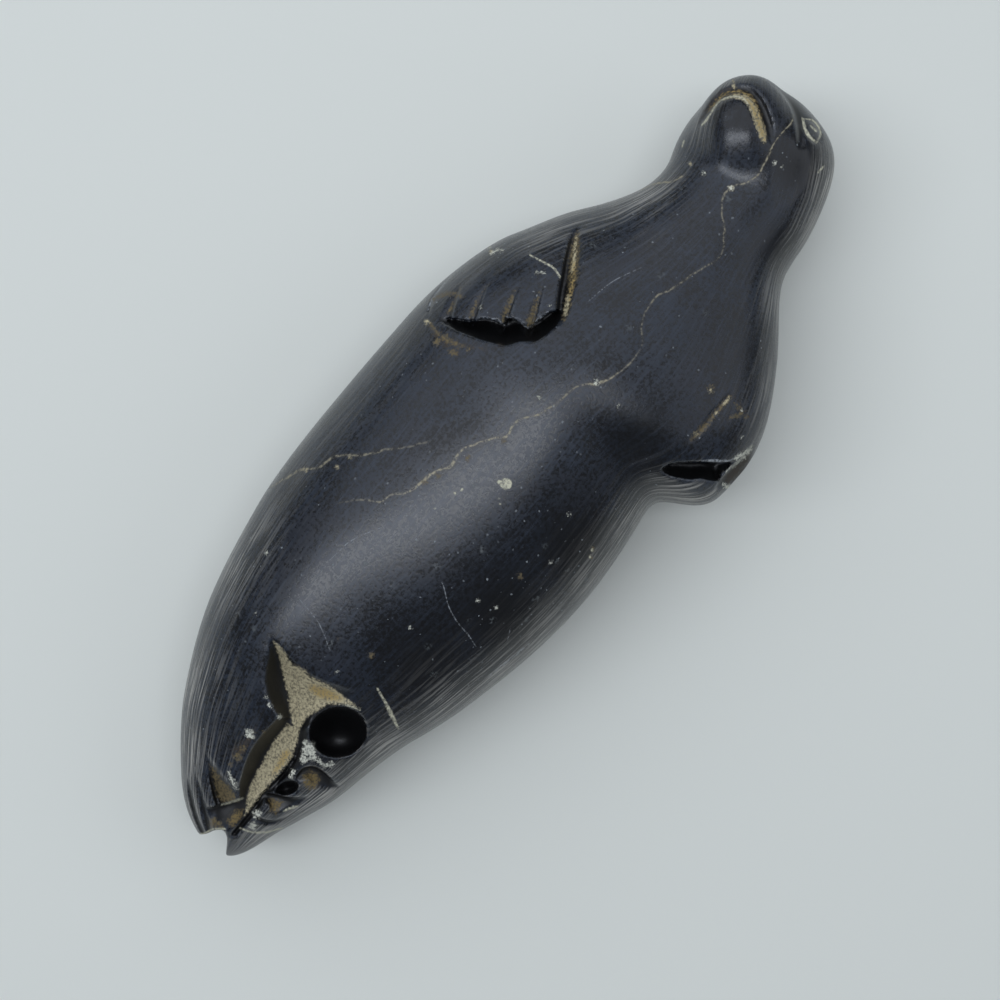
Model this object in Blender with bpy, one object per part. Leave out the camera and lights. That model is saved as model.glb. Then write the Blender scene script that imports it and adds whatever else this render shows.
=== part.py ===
"""Carved stone seal, lying on its back: one solid piece of stone.

Units are metres. +X runs from the hind flippers to the head, +Z is up out of the belly, and
+Y is the side that the head turns towards. The finished stone is set down with the middle of
its box over the origin and its lowest face at Z = 0.
"""

import math

import bmesh
import bpy
import numpy as np
from mathutils import Matrix, Vector
from mathutils.bvhtree import BVHTree

NODE = "carved_seal"
CUTTERS = "seal_cutters"

# The finished stone: hind flippers to crown, across the front flippers, and back to belly.
# The tables below draw its shape, which is then brought to exactly these sizes.
LENGTH = 0.1680
WIDTH = 0.0631
HEIGHT = 0.0430

# The body as it was roughed out: x and y of its middle line, half its width, and its lowest
# and highest level, from the hind flippers to the crown of the head.
SECTIONS = {
    "tail_tip": (-0.0808, -0.0044, 0.0068, 0.0075, 0.0195),
    "flipper_ends": (-0.0720, -0.0002, 0.0103, 0.0055, 0.0245),
    "ankles": (-0.0600, 0.0030, 0.0162, 0.0030, 0.0310),
    "rump": (-0.0450, 0.0055, 0.0217, 0.0010, 0.0375),
    "loin": (-0.0270, 0.0058, 0.0261, 0.0002, 0.0415),
    "waist": (-0.0050, 0.0052, 0.0281, 0.0000, 0.0435),
    "chest": (0.0180, 0.0060, 0.0266, 0.0004, 0.0430),
    "shoulders": (0.0350, 0.0038, 0.0242, 0.0018, 0.0402),
    "nape": (0.0500, 0.0028, 0.0175, 0.0042, 0.0360),
    "neck": (0.0610, 0.0026, 0.0135, 0.0055, 0.0330),
    "ears": (0.0680, 0.0028, 0.0138, 0.0058, 0.0322),
    "crown": (0.0738, 0.0052, 0.0143, 0.0056, 0.0322),
    "brow": (0.0800, 0.0096, 0.0136, 0.0062, 0.0315),
    "forehead": (0.0855, 0.0136, 0.0130, 0.0075, 0.0305),
}
WIDEST_AT = 0.47  # level of the greatest width, as a share of a section's height
SQUARENESS = 2.15  # 2 is an ellipse, more is squarer
TAIL_ROUND = 0.0120  # length over which the tail end rounds off
CROWN_ROUND = 0.0140  # the same at the head
RINGS = 76
RING_POINTS = 48

# Swellings left standing: x, angle round the section (0 is +Y, 90 is the belly), how far each
# reaches towards the tail, the head, and round the section to lower and higher angles, height.
# How abruptly a swelling ends is set by the powers TAIL_EDGE and HEAD_EDGE.
SWELLS = {
    "right_flipper": (0.0230, 40.0, 0.0100, 0.0200, 34.0, 42.0, 0.0016),
    "left_flipper": (0.0322, 168.0, 0.0088, 0.0235, 38.0, 34.0, 0.0096),
    "throat": (0.0590, 80.0, 0.0080, 0.0090, 60.0, 60.0, 0.0006),
}
TAIL_EDGE = 3.0
HEAD_EDGE = 3.0

# The head's own frame: it turns towards +Y and rolls so that its left eye shows from above.
HEAD_CENTRE = Vector((0.0736, 0.0048, 0.0190))
HEAD_TURN = 41.0
HEAD_ROLL = 18.0
ROLL_FROM = 0.0500  # x where the neck starts to roll
ROLL_TO = 0.0740  # x where it has rolled all the way

# In the head's frame: forward, towards its right side, towards the chin.
MUZZLE_CENTRE = Vector((0.0048, 0.0000, 0.0058))
MUZZLE_RADII = Vector((0.0112, 0.0088, 0.0098))
CHIN_CENTRE = Vector((0.0036, 0.0003, 0.0080))
CHIN_RADII = Vector((0.0104, 0.0073, 0.0084))
SEAM_FROM = 0.0560  # x past which the seams of the head are rubbed round
SEAM_PASSES = 6

# Both eyes, in the head's frame: where the middle is, half its length and height, the groove.
EYE_AT = Vector((0.0050, 0.0113, 0.0062))
EYE_LONG = 0.0019
EYE_HIGH = 0.0013
EYE_TILT = 12.0
EYE_GROOVE = 0.0005
EYE_DEPTH = 0.0004
EYE_POINTS = 14

# Cuts into the skin, each a row of places along its bottom: x and y, how far the cut opens to
# the left and to the right of its own direction, how deep it is, and how far the bottom leans
# to the left. The left is the side of +Y for a cut towards +X.
CUTS = {
    "mouth": (
        (0.0707, 0.0158, 0.0003, 0.0003, 0.0003, 0.0000),
        (0.0728, 0.0165, 0.0004, 0.0004, 0.0007, 0.0000),
        (0.0749, 0.0165, 0.0005, 0.0005, 0.0009, 0.0000),
        (0.0766, 0.0159, 0.0006, 0.0006, 0.0010, 0.0000),
        (0.0779, 0.0148, 0.0007, 0.0007, 0.0011, 0.0000),
        (0.0784, 0.0131, 0.0008, 0.0007, 0.0011, 0.0000),
        (0.0780, 0.0112, 0.0008, 0.0007, 0.0011, 0.0000),
        (0.0770, 0.0090, 0.0008, 0.0007, 0.0011, 0.0000),
        (0.0761, 0.0073, 0.0008, 0.0007, 0.0010, 0.0000),
        (0.0753, 0.0057, 0.0006, 0.0005, 0.0005, 0.0000),
    ),
    "lip": (
        (0.0779, 0.0152, 0.0003, 0.0003, 0.0005, 0.0000),
        (0.0792, 0.0164, 0.0003, 0.0003, 0.0004, 0.0000),
        (0.0804, 0.0174, 0.0002, 0.0002, 0.0002, 0.0000),
    ),
    "right_flipper_front": (
        (0.0436, 0.0204, 0.0004, 0.0003, 0.0002, 0.0000),
        (0.0400, 0.0181, 0.0012, 0.0008, 0.0011, 0.0000),
        (0.0361, 0.0157, 0.0015, 0.0009, 0.0018, 0.0000),
        (0.0324, 0.0134, 0.0015, 0.0009, 0.0022, 0.0000),
        (0.0294, 0.0116, 0.0011, 0.0009, 0.0020, 0.0000),
    ),
    "right_flipper_under": (
        (0.0160, 0.0310, 0.0001, 0.0005, 0.0006, 0.0002),
        (0.0171, 0.0272, 0.0001, 0.0014, 0.0018, 0.0006),
        (0.0194, 0.0236, 0.0001, 0.0023, 0.0028, 0.0010),
        (0.0222, 0.0199, 0.0001, 0.0032, 0.0035, 0.0012),
        (0.0250, 0.0160, 0.0001, 0.0032, 0.0036, 0.0012),
        (0.0280, 0.0136, 0.0001, 0.0026, 0.0030, 0.0008),
        (0.0310, 0.0126, 0.0001, 0.0009, 0.0012, 0.0002),
    ),
    "left_flipper_under": (
        (0.0218, -0.0156, 0.0001, 0.0006, 0.0004, 0.0001),
        (0.0237, -0.0178, 0.0001, 0.0020, 0.0020, 0.0004),
        (0.0256, -0.0204, 0.0001, 0.0030, 0.0030, 0.0008),
        (0.0276, -0.0228, 0.0001, 0.0031, 0.0032, 0.0009),
        (0.0296, -0.0248, 0.0001, 0.0024, 0.0028, 0.0006),
        (0.0316, -0.0264, 0.0001, 0.0014, 0.0016, 0.0002),
    ),
    "tail_fold": (
        (-0.0422, 0.0139, 0.0003, 0.0003, 0.0002, 0.0000),
        (-0.0447, 0.0103, 0.0026, 0.0024, 0.0022, 0.0000),
        (-0.0466, 0.0075, 0.0046, 0.0034, 0.0033, 0.0000),
        (-0.0492, 0.0045, 0.0096, 0.0030, 0.0038, 0.0000),
        (-0.0516, 0.0022, 0.0034, 0.0014, 0.0032, 0.0000),
    ),
    "tail_trench": (
        (-0.0496, 0.0030, 0.0014, 0.0014, 0.0026, 0.0000),
        (-0.0524, 0.0015, 0.0020, 0.0027, 0.0034, 0.0000),
        (-0.0558, 0.0008, 0.0026, 0.0032, 0.0037, 0.0000),
        (-0.0598, 0.0002, 0.0029, 0.0032, 0.0036, 0.0000),
        (-0.0637, -0.0003, 0.0027, 0.0028, 0.0034, 0.0000),
        (-0.0677, -0.0010, 0.0022, 0.0021, 0.0026, 0.0000),
        (-0.0716, -0.0020, 0.0012, 0.0012, 0.0010, 0.0000),
    ),
    "tail_slit": (
        (-0.0660, -0.0024, 0.0003, 0.0003, 0.0006, 0.0000),
        (-0.0700, -0.0026, 0.0007, 0.0006, 0.0016, 0.0000),
        (-0.0740, -0.0025, 0.0008, 0.0008, 0.0018, 0.0000),
        (-0.0774, -0.0019, 0.0007, 0.0007, 0.0014, 0.0000),
    ),
}
TRENCH_FLOOR = 0.0026

# Plain grooves between the digits: x and y where each starts and ends, half its width and its
# depth at the start, and the same at the end.
DIGITS = {
    "right_flipper_1": (0.0186, 0.0274, 0.0246, 0.0290, 0.0007, 0.0009, 0.0003, 0.0002),
    "right_flipper_2": (0.0193, 0.0229, 0.0252, 0.0251, 0.0007, 0.0010, 0.0003, 0.0002),
    "right_flipper_3": (0.0220, 0.0186, 0.0284, 0.0209, 0.0008, 0.0012, 0.0003, 0.0002),
    "right_flipper_4": (0.0244, 0.0149, 0.0316, 0.0181, 0.0009, 0.0013, 0.0003, 0.0002),
    "right_flipper_5": (0.0158, 0.0304, 0.0216, 0.0309, 0.0005, 0.0006, 0.0003, 0.0002),
    "right_hind_1": (-0.0564, -0.0027, -0.0594, -0.0086, 0.0011, 0.0015, 0.0005, 0.0003),
    "right_hind_2": (-0.0646, -0.0020, -0.0666, -0.0074, 0.0011, 0.0015, 0.0005, 0.0003),
    "right_hind_3": (-0.0702, -0.0030, -0.0719, -0.0076, 0.0008, 0.0010, 0.0004, 0.0003),
    "left_hind_1": (-0.0689, 0.0004, -0.0667, 0.0089, 0.0015, 0.0016, 0.0003, 0.0002),
    "left_hind_2": (-0.0736, -0.0006, -0.0732, 0.0050, 0.0011, 0.0011, 0.0004, 0.0003),
    "left_hind_3": (-0.0784, 0.0012, -0.0708, 0.0096, 0.0005, 0.0008, 0.0003, 0.0002),
}

# The hollow beside the right hind flipper: x and y, its radii along the stone, across it and
# into it, and how far its middle stands above the skin.
HOLLOW_AT = (-0.0472, -0.0058)
HOLLOW_RADII = Vector((0.0048, 0.0052, 0.0054))
HOLLOW_LIFT = 0.0006
HOLLOW_TURN = -49.0

# The left hind flipper ends this far short of the right one.
STEP_AT = Vector((-0.0820, -0.0022, 0.0150))
STEP_SIZE = Vector((0.0090, 0.0060, 0.0400))
STEP_TURN = 41.0

# The flat spot that the stone was rubbed to where it lies.
REST_DEPTH = 0.0007
REST_BLOCK = Vector((0.3000, 0.2000, 0.0200))

MID_LEVEL = 0.0150
WELD = 0.000002
SHARP_ABOVE = 38.0
LIFT = 0.0030  # how far the cutters stand out of the stone
SLOPE_STEP = 0.0005  # how far apart the middle line is read for its direction
SKIN_REACH = 0.0070  # how far over and under a place its skin is looked for
ABOVE = 0.1000  # from where the skin is looked for from above
EYE_OUT = 0.0200  # from where it is looked for beside an eye
EYE_OUTWARD = Vector((0.35, 0.80, 0.30))  # which way the right eye looks
EYE_LINE = Vector((-0.90, 0.00, 0.45))  # which way an eye's long way lies


def interpolate(knots, values, at):
    """A smooth curve through the values, with the slopes of the neighbours (Catmull-Rom)."""
    knots, values = np.asarray(knots, float), np.asarray(values, float)
    slopes = np.gradient(values, knots)
    i = int(np.clip(np.searchsorted(knots, at) - 1, 0, len(knots) - 2))
    span = knots[i + 1] - knots[i]
    t = min(max((at - knots[i]) / span, 0.0), 1.0)
    return (
        (2 * t**3 - 3 * t**2 + 1) * values[i]
        + (t**3 - 2 * t**2 + t) * span * slopes[i]
        + (3 * t**2 - 2 * t**3) * values[i + 1]
        + (t**3 - t**2) * span * slopes[i + 1]
    )


def smooth_step(low, high, value):
    t = min(max((value - low) / (high - low), 0.0), 1.0)
    return t * t * (3 - 2 * t)


class Spine:
    """The middle line of the body, measured by the distance along it."""

    def __init__(self):
        rows = np.array(list(SECTIONS.values()))
        steps = np.hypot(np.diff(rows[:, 0]), np.diff(rows[:, 1]))
        self.knots = np.concatenate([[0.0], np.cumsum(steps)])
        self.rows = rows
        self.length = float(self.knots[-1])

    def section(self, along):
        return [interpolate(self.knots, column, along) for column in self.rows.T]

    def middle(self, along):
        x, y, _, low, high = self.section(along)
        return Vector((x, y, low + WIDEST_AT * (high - low)))

    def forward(self, along):
        ahead = self.middle(min(along + SLOPE_STEP, self.length))
        behind = self.middle(max(along - SLOPE_STEP, 0.0))
        flat = ahead - behind
        flat.z = 0.0
        return flat.normalized()


def rounding(along, length):
    """How much of the full section is left near the two rounded ends."""
    share = 1.0
    for distance, reach in ((along, TAIL_ROUND), (length - along, CROWN_ROUND)):
        if distance < reach:
            share *= math.sqrt(max(1.0 - (1.0 - distance / reach) ** 2, 0.0))
    return share


def swelling(x, angle):
    """The height of the flipper and throat swellings at this place."""
    total = 0.0
    for at_x, at_angle, to_tail, to_head, lower, higher, height in SWELLS.values():
        reach_x = to_tail if x < at_x else to_head
        turn = (angle - at_angle + 180.0) % 360.0 - 180.0
        reach_angle = lower if turn < 0 else higher
        power = TAIL_EDGE if x < at_x else HEAD_EDGE
        fall = (abs(x - at_x) / reach_x) ** power + (turn / reach_angle) ** 2
        total += height * math.exp(-fall)
    return total


def ring(spine, along):
    """The points of one section, rolled and swollen."""
    x, _, half_width, low, high = spine.section(along)
    centre = spine.middle(along)
    forward = spine.forward(along)
    roll = math.radians(HEAD_ROLL) * smooth_step(ROLL_FROM, ROLL_TO, x)
    side = Vector((-forward.y, forward.x, 0.0))
    across = side * math.cos(roll) - Vector((0, 0, 1)) * math.sin(roll)
    up = side * math.sin(roll) + Vector((0, 0, 1)) * math.cos(roll)
    share = rounding(along, spine.length)
    points = []
    for step in range(RING_POINTS):
        turn = 2 * math.pi * step / RING_POINTS
        cosine, sine = math.cos(turn), math.sin(turn)
        power = 2 / SQUARENESS
        wide = math.copysign(abs(cosine) ** power, cosine) * half_width
        level = high - centre.z if sine > 0 else centre.z - low
        tall = math.copysign(abs(sine) ** power, sine) * level
        offset = across * wide + up * tall
        offset += offset.normalized() * swelling(x, math.degrees(turn))
        points.append(centre + offset * share)
    return points


def ring_places(length):
    """Distances of the rings along the spine, closer together towards both ends."""
    places = []
    for step in range(RINGS):
        t = (step + 0.5) / RINGS
        eased = 0.5 - 0.5 * math.cos(math.pi * t)
        places.append(length * (0.45 * eased + 0.55 * t))
    return places


def mesh_object(name, shape, collection):
    bmesh.ops.triangulate(shape, faces=shape.faces)
    mesh = bpy.data.meshes.new(name)
    shape.to_mesh(mesh)
    shape.free()
    made = bpy.data.objects.new(name, mesh)
    collection.objects.link(made)
    return made


def body_loft(collection):
    """The roughed-out stone: rings bridged into a skin and closed by a point at each end."""
    spine = Spine()
    shape = bmesh.new()
    rings = []
    for along in ring_places(spine.length):
        rings.append([shape.verts.new(point) for point in ring(spine, along)])
    for first, second in zip(rings, rings[1:]):
        for i in range(RING_POINTS):
            j = (i + 1) % RING_POINTS
            shape.faces.new((first[i], first[j], second[j], second[i]))
    for end, place in ((rings[0], 0.0), (rings[-1], spine.length)):
        tip = shape.verts.new(spine.middle(place))
        for i in range(RING_POINTS):
            shape.faces.new((end[i], end[(i + 1) % RING_POINTS], tip))
    bmesh.ops.recalc_face_normals(shape, faces=shape.faces)
    return mesh_object(NODE, shape, collection)


def head_frame():
    """Turns the head's own forward, right and chin directions into the row's frame."""
    turn = Matrix.Rotation(math.radians(HEAD_TURN), 4, "Z")
    roll = Matrix.Rotation(-math.radians(HEAD_ROLL), 4, "X")
    return Matrix.Translation(HEAD_CENTRE) @ turn @ roll


def ellipsoid(name, centre, radii, frame, collection, across=28, along=18):
    shape = bmesh.new()
    bmesh.ops.create_uvsphere(shape, u_segments=across, v_segments=along, radius=1.0)
    placed = frame @ Matrix.Translation(centre) @ Matrix.Diagonal((*radii, 1.0))
    bmesh.ops.transform(shape, matrix=placed, verts=shape.verts)
    bmesh.ops.recalc_face_normals(shape, faces=shape.faces)
    return mesh_object(name, shape, collection)


def combine(stone, tool, operation):
    modifier = stone.modifiers.new(tool.name, "BOOLEAN")
    modifier.operation = operation
    modifier.object = tool
    modifier.solver = "EXACT"
    bpy.context.view_layer.update()
    graph = bpy.context.evaluated_depsgraph_get()
    mesh = bpy.data.meshes.new_from_object(stone.evaluated_get(graph))
    stone.modifiers.clear()
    shape = bmesh.new()
    shape.from_mesh(mesh)
    bmesh.ops.remove_doubles(shape, verts=shape.verts, dist=WELD)
    bmesh.ops.triangulate(shape, faces=shape.faces)
    shape.to_mesh(mesh)
    shape.free()
    stone.data = mesh


def surface_of(stone):
    shape = bmesh.new()
    shape.from_mesh(stone.data)
    tree = BVHTree.FromBMesh(shape)
    shape.free()
    return tree


def rub_seams(stone):
    """Rounds the seams of the head, as the carver's sanding did."""
    shape = bmesh.new()
    shape.from_mesh(stone.data)
    near = [v for v in shape.verts if v.co.x > SEAM_FROM]
    for _ in range(SEAM_PASSES):
        bmesh.ops.smooth_vert(
            shape, verts=near, factor=0.5, use_axis_x=True, use_axis_y=True, use_axis_z=True
        )
    shape.to_mesh(stone.data)
    shape.free()


def on_stone(surface, x, y):
    """The place on the skin at this x and y, seen from above, and which way it faces."""
    place, facing, _, _ = surface.ray_cast(Vector((x, y, ABOVE)), Vector((0, 0, -1)))
    if place is None:
        place, facing, _, _ = surface.find_nearest(Vector((x, y, MID_LEVEL)))
    return place, facing


def onto(surface, place, facing):
    """The nearest place on the skin, looking along the facing."""
    start = place + facing * SKIN_REACH
    found, _, _, _ = surface.ray_cast(start, -facing, 2 * SKIN_REACH)
    return found if found is not None else place


def swept_cutter(name, surface, rows, collection, closed=False):
    """A cutter along a path. Each row holds a place, its facing, the opening to the left and to
    the right, the depth, the lean of the bottom and half the width of a flat bottom."""
    shape = bmesh.new()
    loops = []
    count = len(rows)
    for i, (place, facing, left, right, depth, lean, floor) in enumerate(rows):
        ahead = rows[(i + 1) % count][0] if closed or i < count - 1 else place
        behind = rows[i - 1][0] if closed or i > 0 else place
        along = (ahead - behind).normalized()
        side = facing.cross(along).normalized()
        left_lip = onto(surface, place + side * left, facing)
        right_lip = onto(surface, place - side * right, facing)
        bottom = place + side * lean - facing * depth
        corners = [left_lip + facing * LIFT, left_lip]
        if floor > 0:
            corners += [bottom + side * floor, bottom - side * floor]
        else:
            corners += [bottom]
        corners += [right_lip, right_lip + facing * LIFT]
        loops.append([shape.verts.new(corner) for corner in corners])
    pairs = list(zip(loops, loops[1:]))
    if closed:
        pairs.append((loops[-1], loops[0]))
    else:
        shape.faces.new(loops[0])
        shape.faces.new(loops[-1])
    for first, second in pairs:
        size = len(first)
        for i in range(size):
            j = (i + 1) % size
            shape.faces.new((first[i], first[j], second[j], second[i]))
    bmesh.ops.recalc_face_normals(shape, faces=shape.faces)
    return mesh_object(name, shape, collection)


def cut_along(stone, surface, name, rows, collection):
    floor = TRENCH_FLOOR / 2 if name == "tail_trench" else 0.0
    placed = []
    for x, y, left, right, depth, lean in rows:
        place, facing = on_stone(surface, x, y)
        placed.append((place, facing, left, right, depth, lean, floor))
    for _ in range(2):
        facings = [row[1] for row in placed]
        for i, row in enumerate(placed):
            around = facings[max(i - 1, 0) : i + 2]
            facing = sum(around, Vector()).normalized()
            placed[i] = (row[0], facing, *row[2:])
    cutter = swept_cutter(name, surface, placed, collection)
    combine(stone, cutter, "DIFFERENCE")


def cut_digit(stone, surface, name, numbers, collection):
    x0, y0, x1, y1, half0, depth0, half1, depth1 = numbers
    rows = []
    for share in (0.0, 0.35, 0.7, 1.0):
        half = half0 + (half1 - half0) * share
        depth = depth0 + (depth1 - depth0) * share
        x = x0 + (x1 - x0) * share
        y = y0 + (y1 - y0) * share
        rows.append((x, y, half, half, depth, 0.0))
    cut_along(stone, surface, name, rows, collection)


def cut_eye(stone, surface, name, side, collection):
    """One ring groove: side is 1 for the head's right and -1 for its left."""
    frame = head_frame()
    at = Vector((EYE_AT.x, EYE_AT.y * side, EYE_AT.z))
    outward = Vector((EYE_OUTWARD.x, EYE_OUTWARD.y * side, EYE_OUTWARD.z))
    turn = frame.to_3x3()
    away = (turn @ outward).normalized()
    place, facing, _, _ = surface.ray_cast(frame @ at + away * EYE_OUT, -away)
    long_way = (turn @ EYE_LINE).cross(facing).cross(facing).normalized()
    long_way = Matrix.Rotation(math.radians(EYE_TILT) * side, 3, facing) @ long_way
    high_way = facing.cross(long_way)
    rows = []
    for step in range(EYE_POINTS):
        angle = 2 * math.pi * step / EYE_POINTS
        point = place + long_way * EYE_LONG * math.cos(angle)
        point += high_way * EYE_HIGH * math.sin(angle)
        point = onto(surface, point, facing)
        rows.append((point, facing, EYE_GROOVE / 2, EYE_GROOVE / 2, EYE_DEPTH, 0.0, 0.0))
    cutter = swept_cutter(name, surface, rows, collection, closed=True)
    combine(stone, cutter, "DIFFERENCE")


def cut_hollow(stone, surface, collection):
    place, facing = on_stone(surface, *HOLLOW_AT)
    facing = (facing + Vector((0, 0, 1))).normalized()
    turn = facing.to_track_quat("Z", "X").to_matrix().to_4x4()
    turn = turn @ Matrix.Rotation(math.radians(HOLLOW_TURN), 4, "Z")
    frame = Matrix.Translation(place) @ turn
    lifted = Vector((0, 0, HOLLOW_LIFT))
    hollow = ellipsoid("hollow", lifted, HOLLOW_RADII, frame, collection)
    combine(stone, hollow, "DIFFERENCE")


def cut_box(stone, name, centre, size, turn, collection):
    shape = bmesh.new()
    bmesh.ops.create_cube(shape, size=1.0)
    placed = Matrix.Translation(centre) @ Matrix.Rotation(math.radians(turn), 4, "Z")
    placed = placed @ Matrix.Diagonal((*size, 1.0))
    bmesh.ops.transform(shape, matrix=placed, verts=shape.verts)
    box = mesh_object(name, shape, collection)
    combine(stone, box, "DIFFERENCE")


def box_of(stone):
    points = np.array([v.co for v in stone.data.vertices])
    return Vector(points.min(axis=0)), Vector(points.max(axis=0))


def set_down(stone, collection):
    """Rubs the resting flat, and brings the box to its sizes, its middle over the origin."""
    low, high = box_of(stone)
    middle = (low + high) / 2
    rest_at = Vector((middle.x, middle.y, low.z + REST_DEPTH - REST_BLOCK.z / 2))
    cut_box(stone, "rest", rest_at, REST_BLOCK, 0.0, collection)
    low, high = box_of(stone)
    middle = (low + high) / 2
    size = high - low
    sized = Matrix.Diagonal((LENGTH / size.x, WIDTH / size.y, HEIGHT / size.z, 1.0))
    home = sized @ Matrix.Translation((-middle.x, -middle.y, -low.z))
    stone.data.transform(home)
    for tool in collection.objects:
        tool.data.transform(home)


def stone_material():
    material = bpy.data.materials.new("carved_stone")
    material.use_nodes = True
    shader = material.node_tree.nodes["Principled BSDF"]
    shader.inputs["Base Color"].default_value = (0.018, 0.019, 0.023, 1.0)
    shader.inputs["Roughness"].default_value = 0.38
    return material


def main():
    for old in list(bpy.data.objects):
        bpy.data.objects.remove(old)
    parts = bpy.data.collections.new("seal")
    cutters = bpy.data.collections.new(CUTTERS)
    bpy.context.scene.collection.children.link(parts)
    bpy.context.scene.collection.children.link(cutters)
    cutters.hide_render = True
    stone = body_loft(parts)
    frame = head_frame()
    muzzle = ellipsoid("muzzle", MUZZLE_CENTRE, MUZZLE_RADII, frame, cutters)
    combine(stone, muzzle, "UNION")
    chin = ellipsoid("chin", CHIN_CENTRE, CHIN_RADII, frame, cutters)
    combine(stone, chin, "UNION")
    rub_seams(stone)
    surface = surface_of(stone)
    for name, rows in CUTS.items():
        cut_along(stone, surface, name, rows, cutters)
    cut_hollow(stone, surface, cutters)
    for name, numbers in DIGITS.items():
        cut_digit(stone, surface, name, numbers, cutters)
    cut_eye(stone, surface, "left_eye", -1, cutters)
    cut_eye(stone, surface, "right_eye", 1, cutters)
    cut_box(stone, "step", STEP_AT, STEP_SIZE, STEP_TURN, cutters)
    set_down(stone, cutters)
    for tool in cutters.objects:
        tool.hide_render = True
        tool.display_type = "WIRE"
    stone.data.shade_smooth()
    stone.data.set_sharp_from_angle(angle=math.radians(SHARP_ABOVE))
    stone.data.materials.clear()
    stone.data.materials.append(stone_material())


main()
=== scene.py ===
import math
from functools import partial

import bmesh
import bpy
import numpy as np
from mathutils import Matrix, Vector


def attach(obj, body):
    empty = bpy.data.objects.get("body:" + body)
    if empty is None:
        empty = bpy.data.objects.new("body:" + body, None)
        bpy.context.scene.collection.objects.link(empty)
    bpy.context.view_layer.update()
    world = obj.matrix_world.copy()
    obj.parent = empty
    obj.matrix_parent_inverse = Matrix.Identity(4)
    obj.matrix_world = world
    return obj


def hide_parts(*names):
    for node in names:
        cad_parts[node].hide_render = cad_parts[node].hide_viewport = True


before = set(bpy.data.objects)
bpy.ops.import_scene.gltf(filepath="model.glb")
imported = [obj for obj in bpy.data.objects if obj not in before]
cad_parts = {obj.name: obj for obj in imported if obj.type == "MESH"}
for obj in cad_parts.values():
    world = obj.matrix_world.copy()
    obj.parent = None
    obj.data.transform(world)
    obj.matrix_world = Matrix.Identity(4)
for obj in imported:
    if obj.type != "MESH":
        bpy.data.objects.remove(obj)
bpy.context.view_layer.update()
print("frame loaded")

mm = 0.001

# The photograph was taken from straight above; the picture's up is turned from +X by this much.
photoCamera = {
    "over": (-0.0035, -0.0019),
    "height": 0.3813,
    "turn": 41.0,
    "lens": 73.97,  # millimetres, on a sensor 36 mm wide
    "sensor": 36.0,
    "picture": 1000,  # pixels each way
}


def cameraAxes():
    turn = math.radians(photoCamera["turn"])
    up = Vector((math.cos(turn), math.sin(turn), 0.0))
    back = Vector((0.0, 0.0, 1.0))
    return up.cross(back), up, back


def cameraPlace():
    return Vector((*photoCamera["over"], photoCamera["height"]))


def focalPixels():
    return photoCamera["picture"] * photoCamera["lens"] / photoCamera["sensor"]


def added(name, data):
    made = bpy.data.objects.new(name, data)
    bpy.context.scene.collection.objects.link(made)
    return made


def makeCamera():
    data = bpy.data.cameras.new("photoCamera")
    data.lens = photoCamera["lens"]
    data.sensor_width = photoCamera["sensor"]
    data.clip_start = 0.01
    data.clip_end = 20.0
    camera = added("photoCamera", data)
    place = Matrix(cameraAxes()).transposed().to_4x4()
    place.translation = cameraPlace()
    camera.matrix_world = place
    bpy.context.scene.camera = camera


# Points of the stone as pixels of the photograph, and back.
def seenFrom(points):
    right, up, _ = np.array(cameraAxes())
    offset = points - np.array(cameraPlace())
    depth = -offset[:, 2]
    middle = photoCamera["picture"] / 2
    u = middle + focalPixels() * (offset @ right) / depth
    v = middle - focalPixels() * (offset @ up) / depth
    return np.stack([u, v], axis=1)


def linear(hexColour):
    values = []
    for i in (0, 2, 4):
        share = int(hexColour[i : i + 2], 16) / 255
        values.append(share / 12.92 if share <= 0.04045 else ((share + 0.055) / 1.055) ** 2.4)
    return (*values, 1.0)


def newMaterial(name):
    material = bpy.data.materials.new(name)
    material.use_nodes = True
    return material, material.node_tree.nodes["Principled BSDF"]


# Adds a node; an input can be a value, a socket or a node, which stands for its first output.
def addNode(tree, kind, settings=None, inputs=None):
    node = tree.nodes.new("ShaderNode" + kind)
    for name, value in (settings or {}).items():
        setattr(node, name, value)
    for place, value in (inputs or {}).items():
        if isinstance(value, bpy.types.Node):
            value = value.outputs[0]
        if isinstance(value, bpy.types.NodeSocket):
            tree.links.new(value, node.inputs[place])
        else:
            node.inputs[place].default_value = value
    return node


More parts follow.
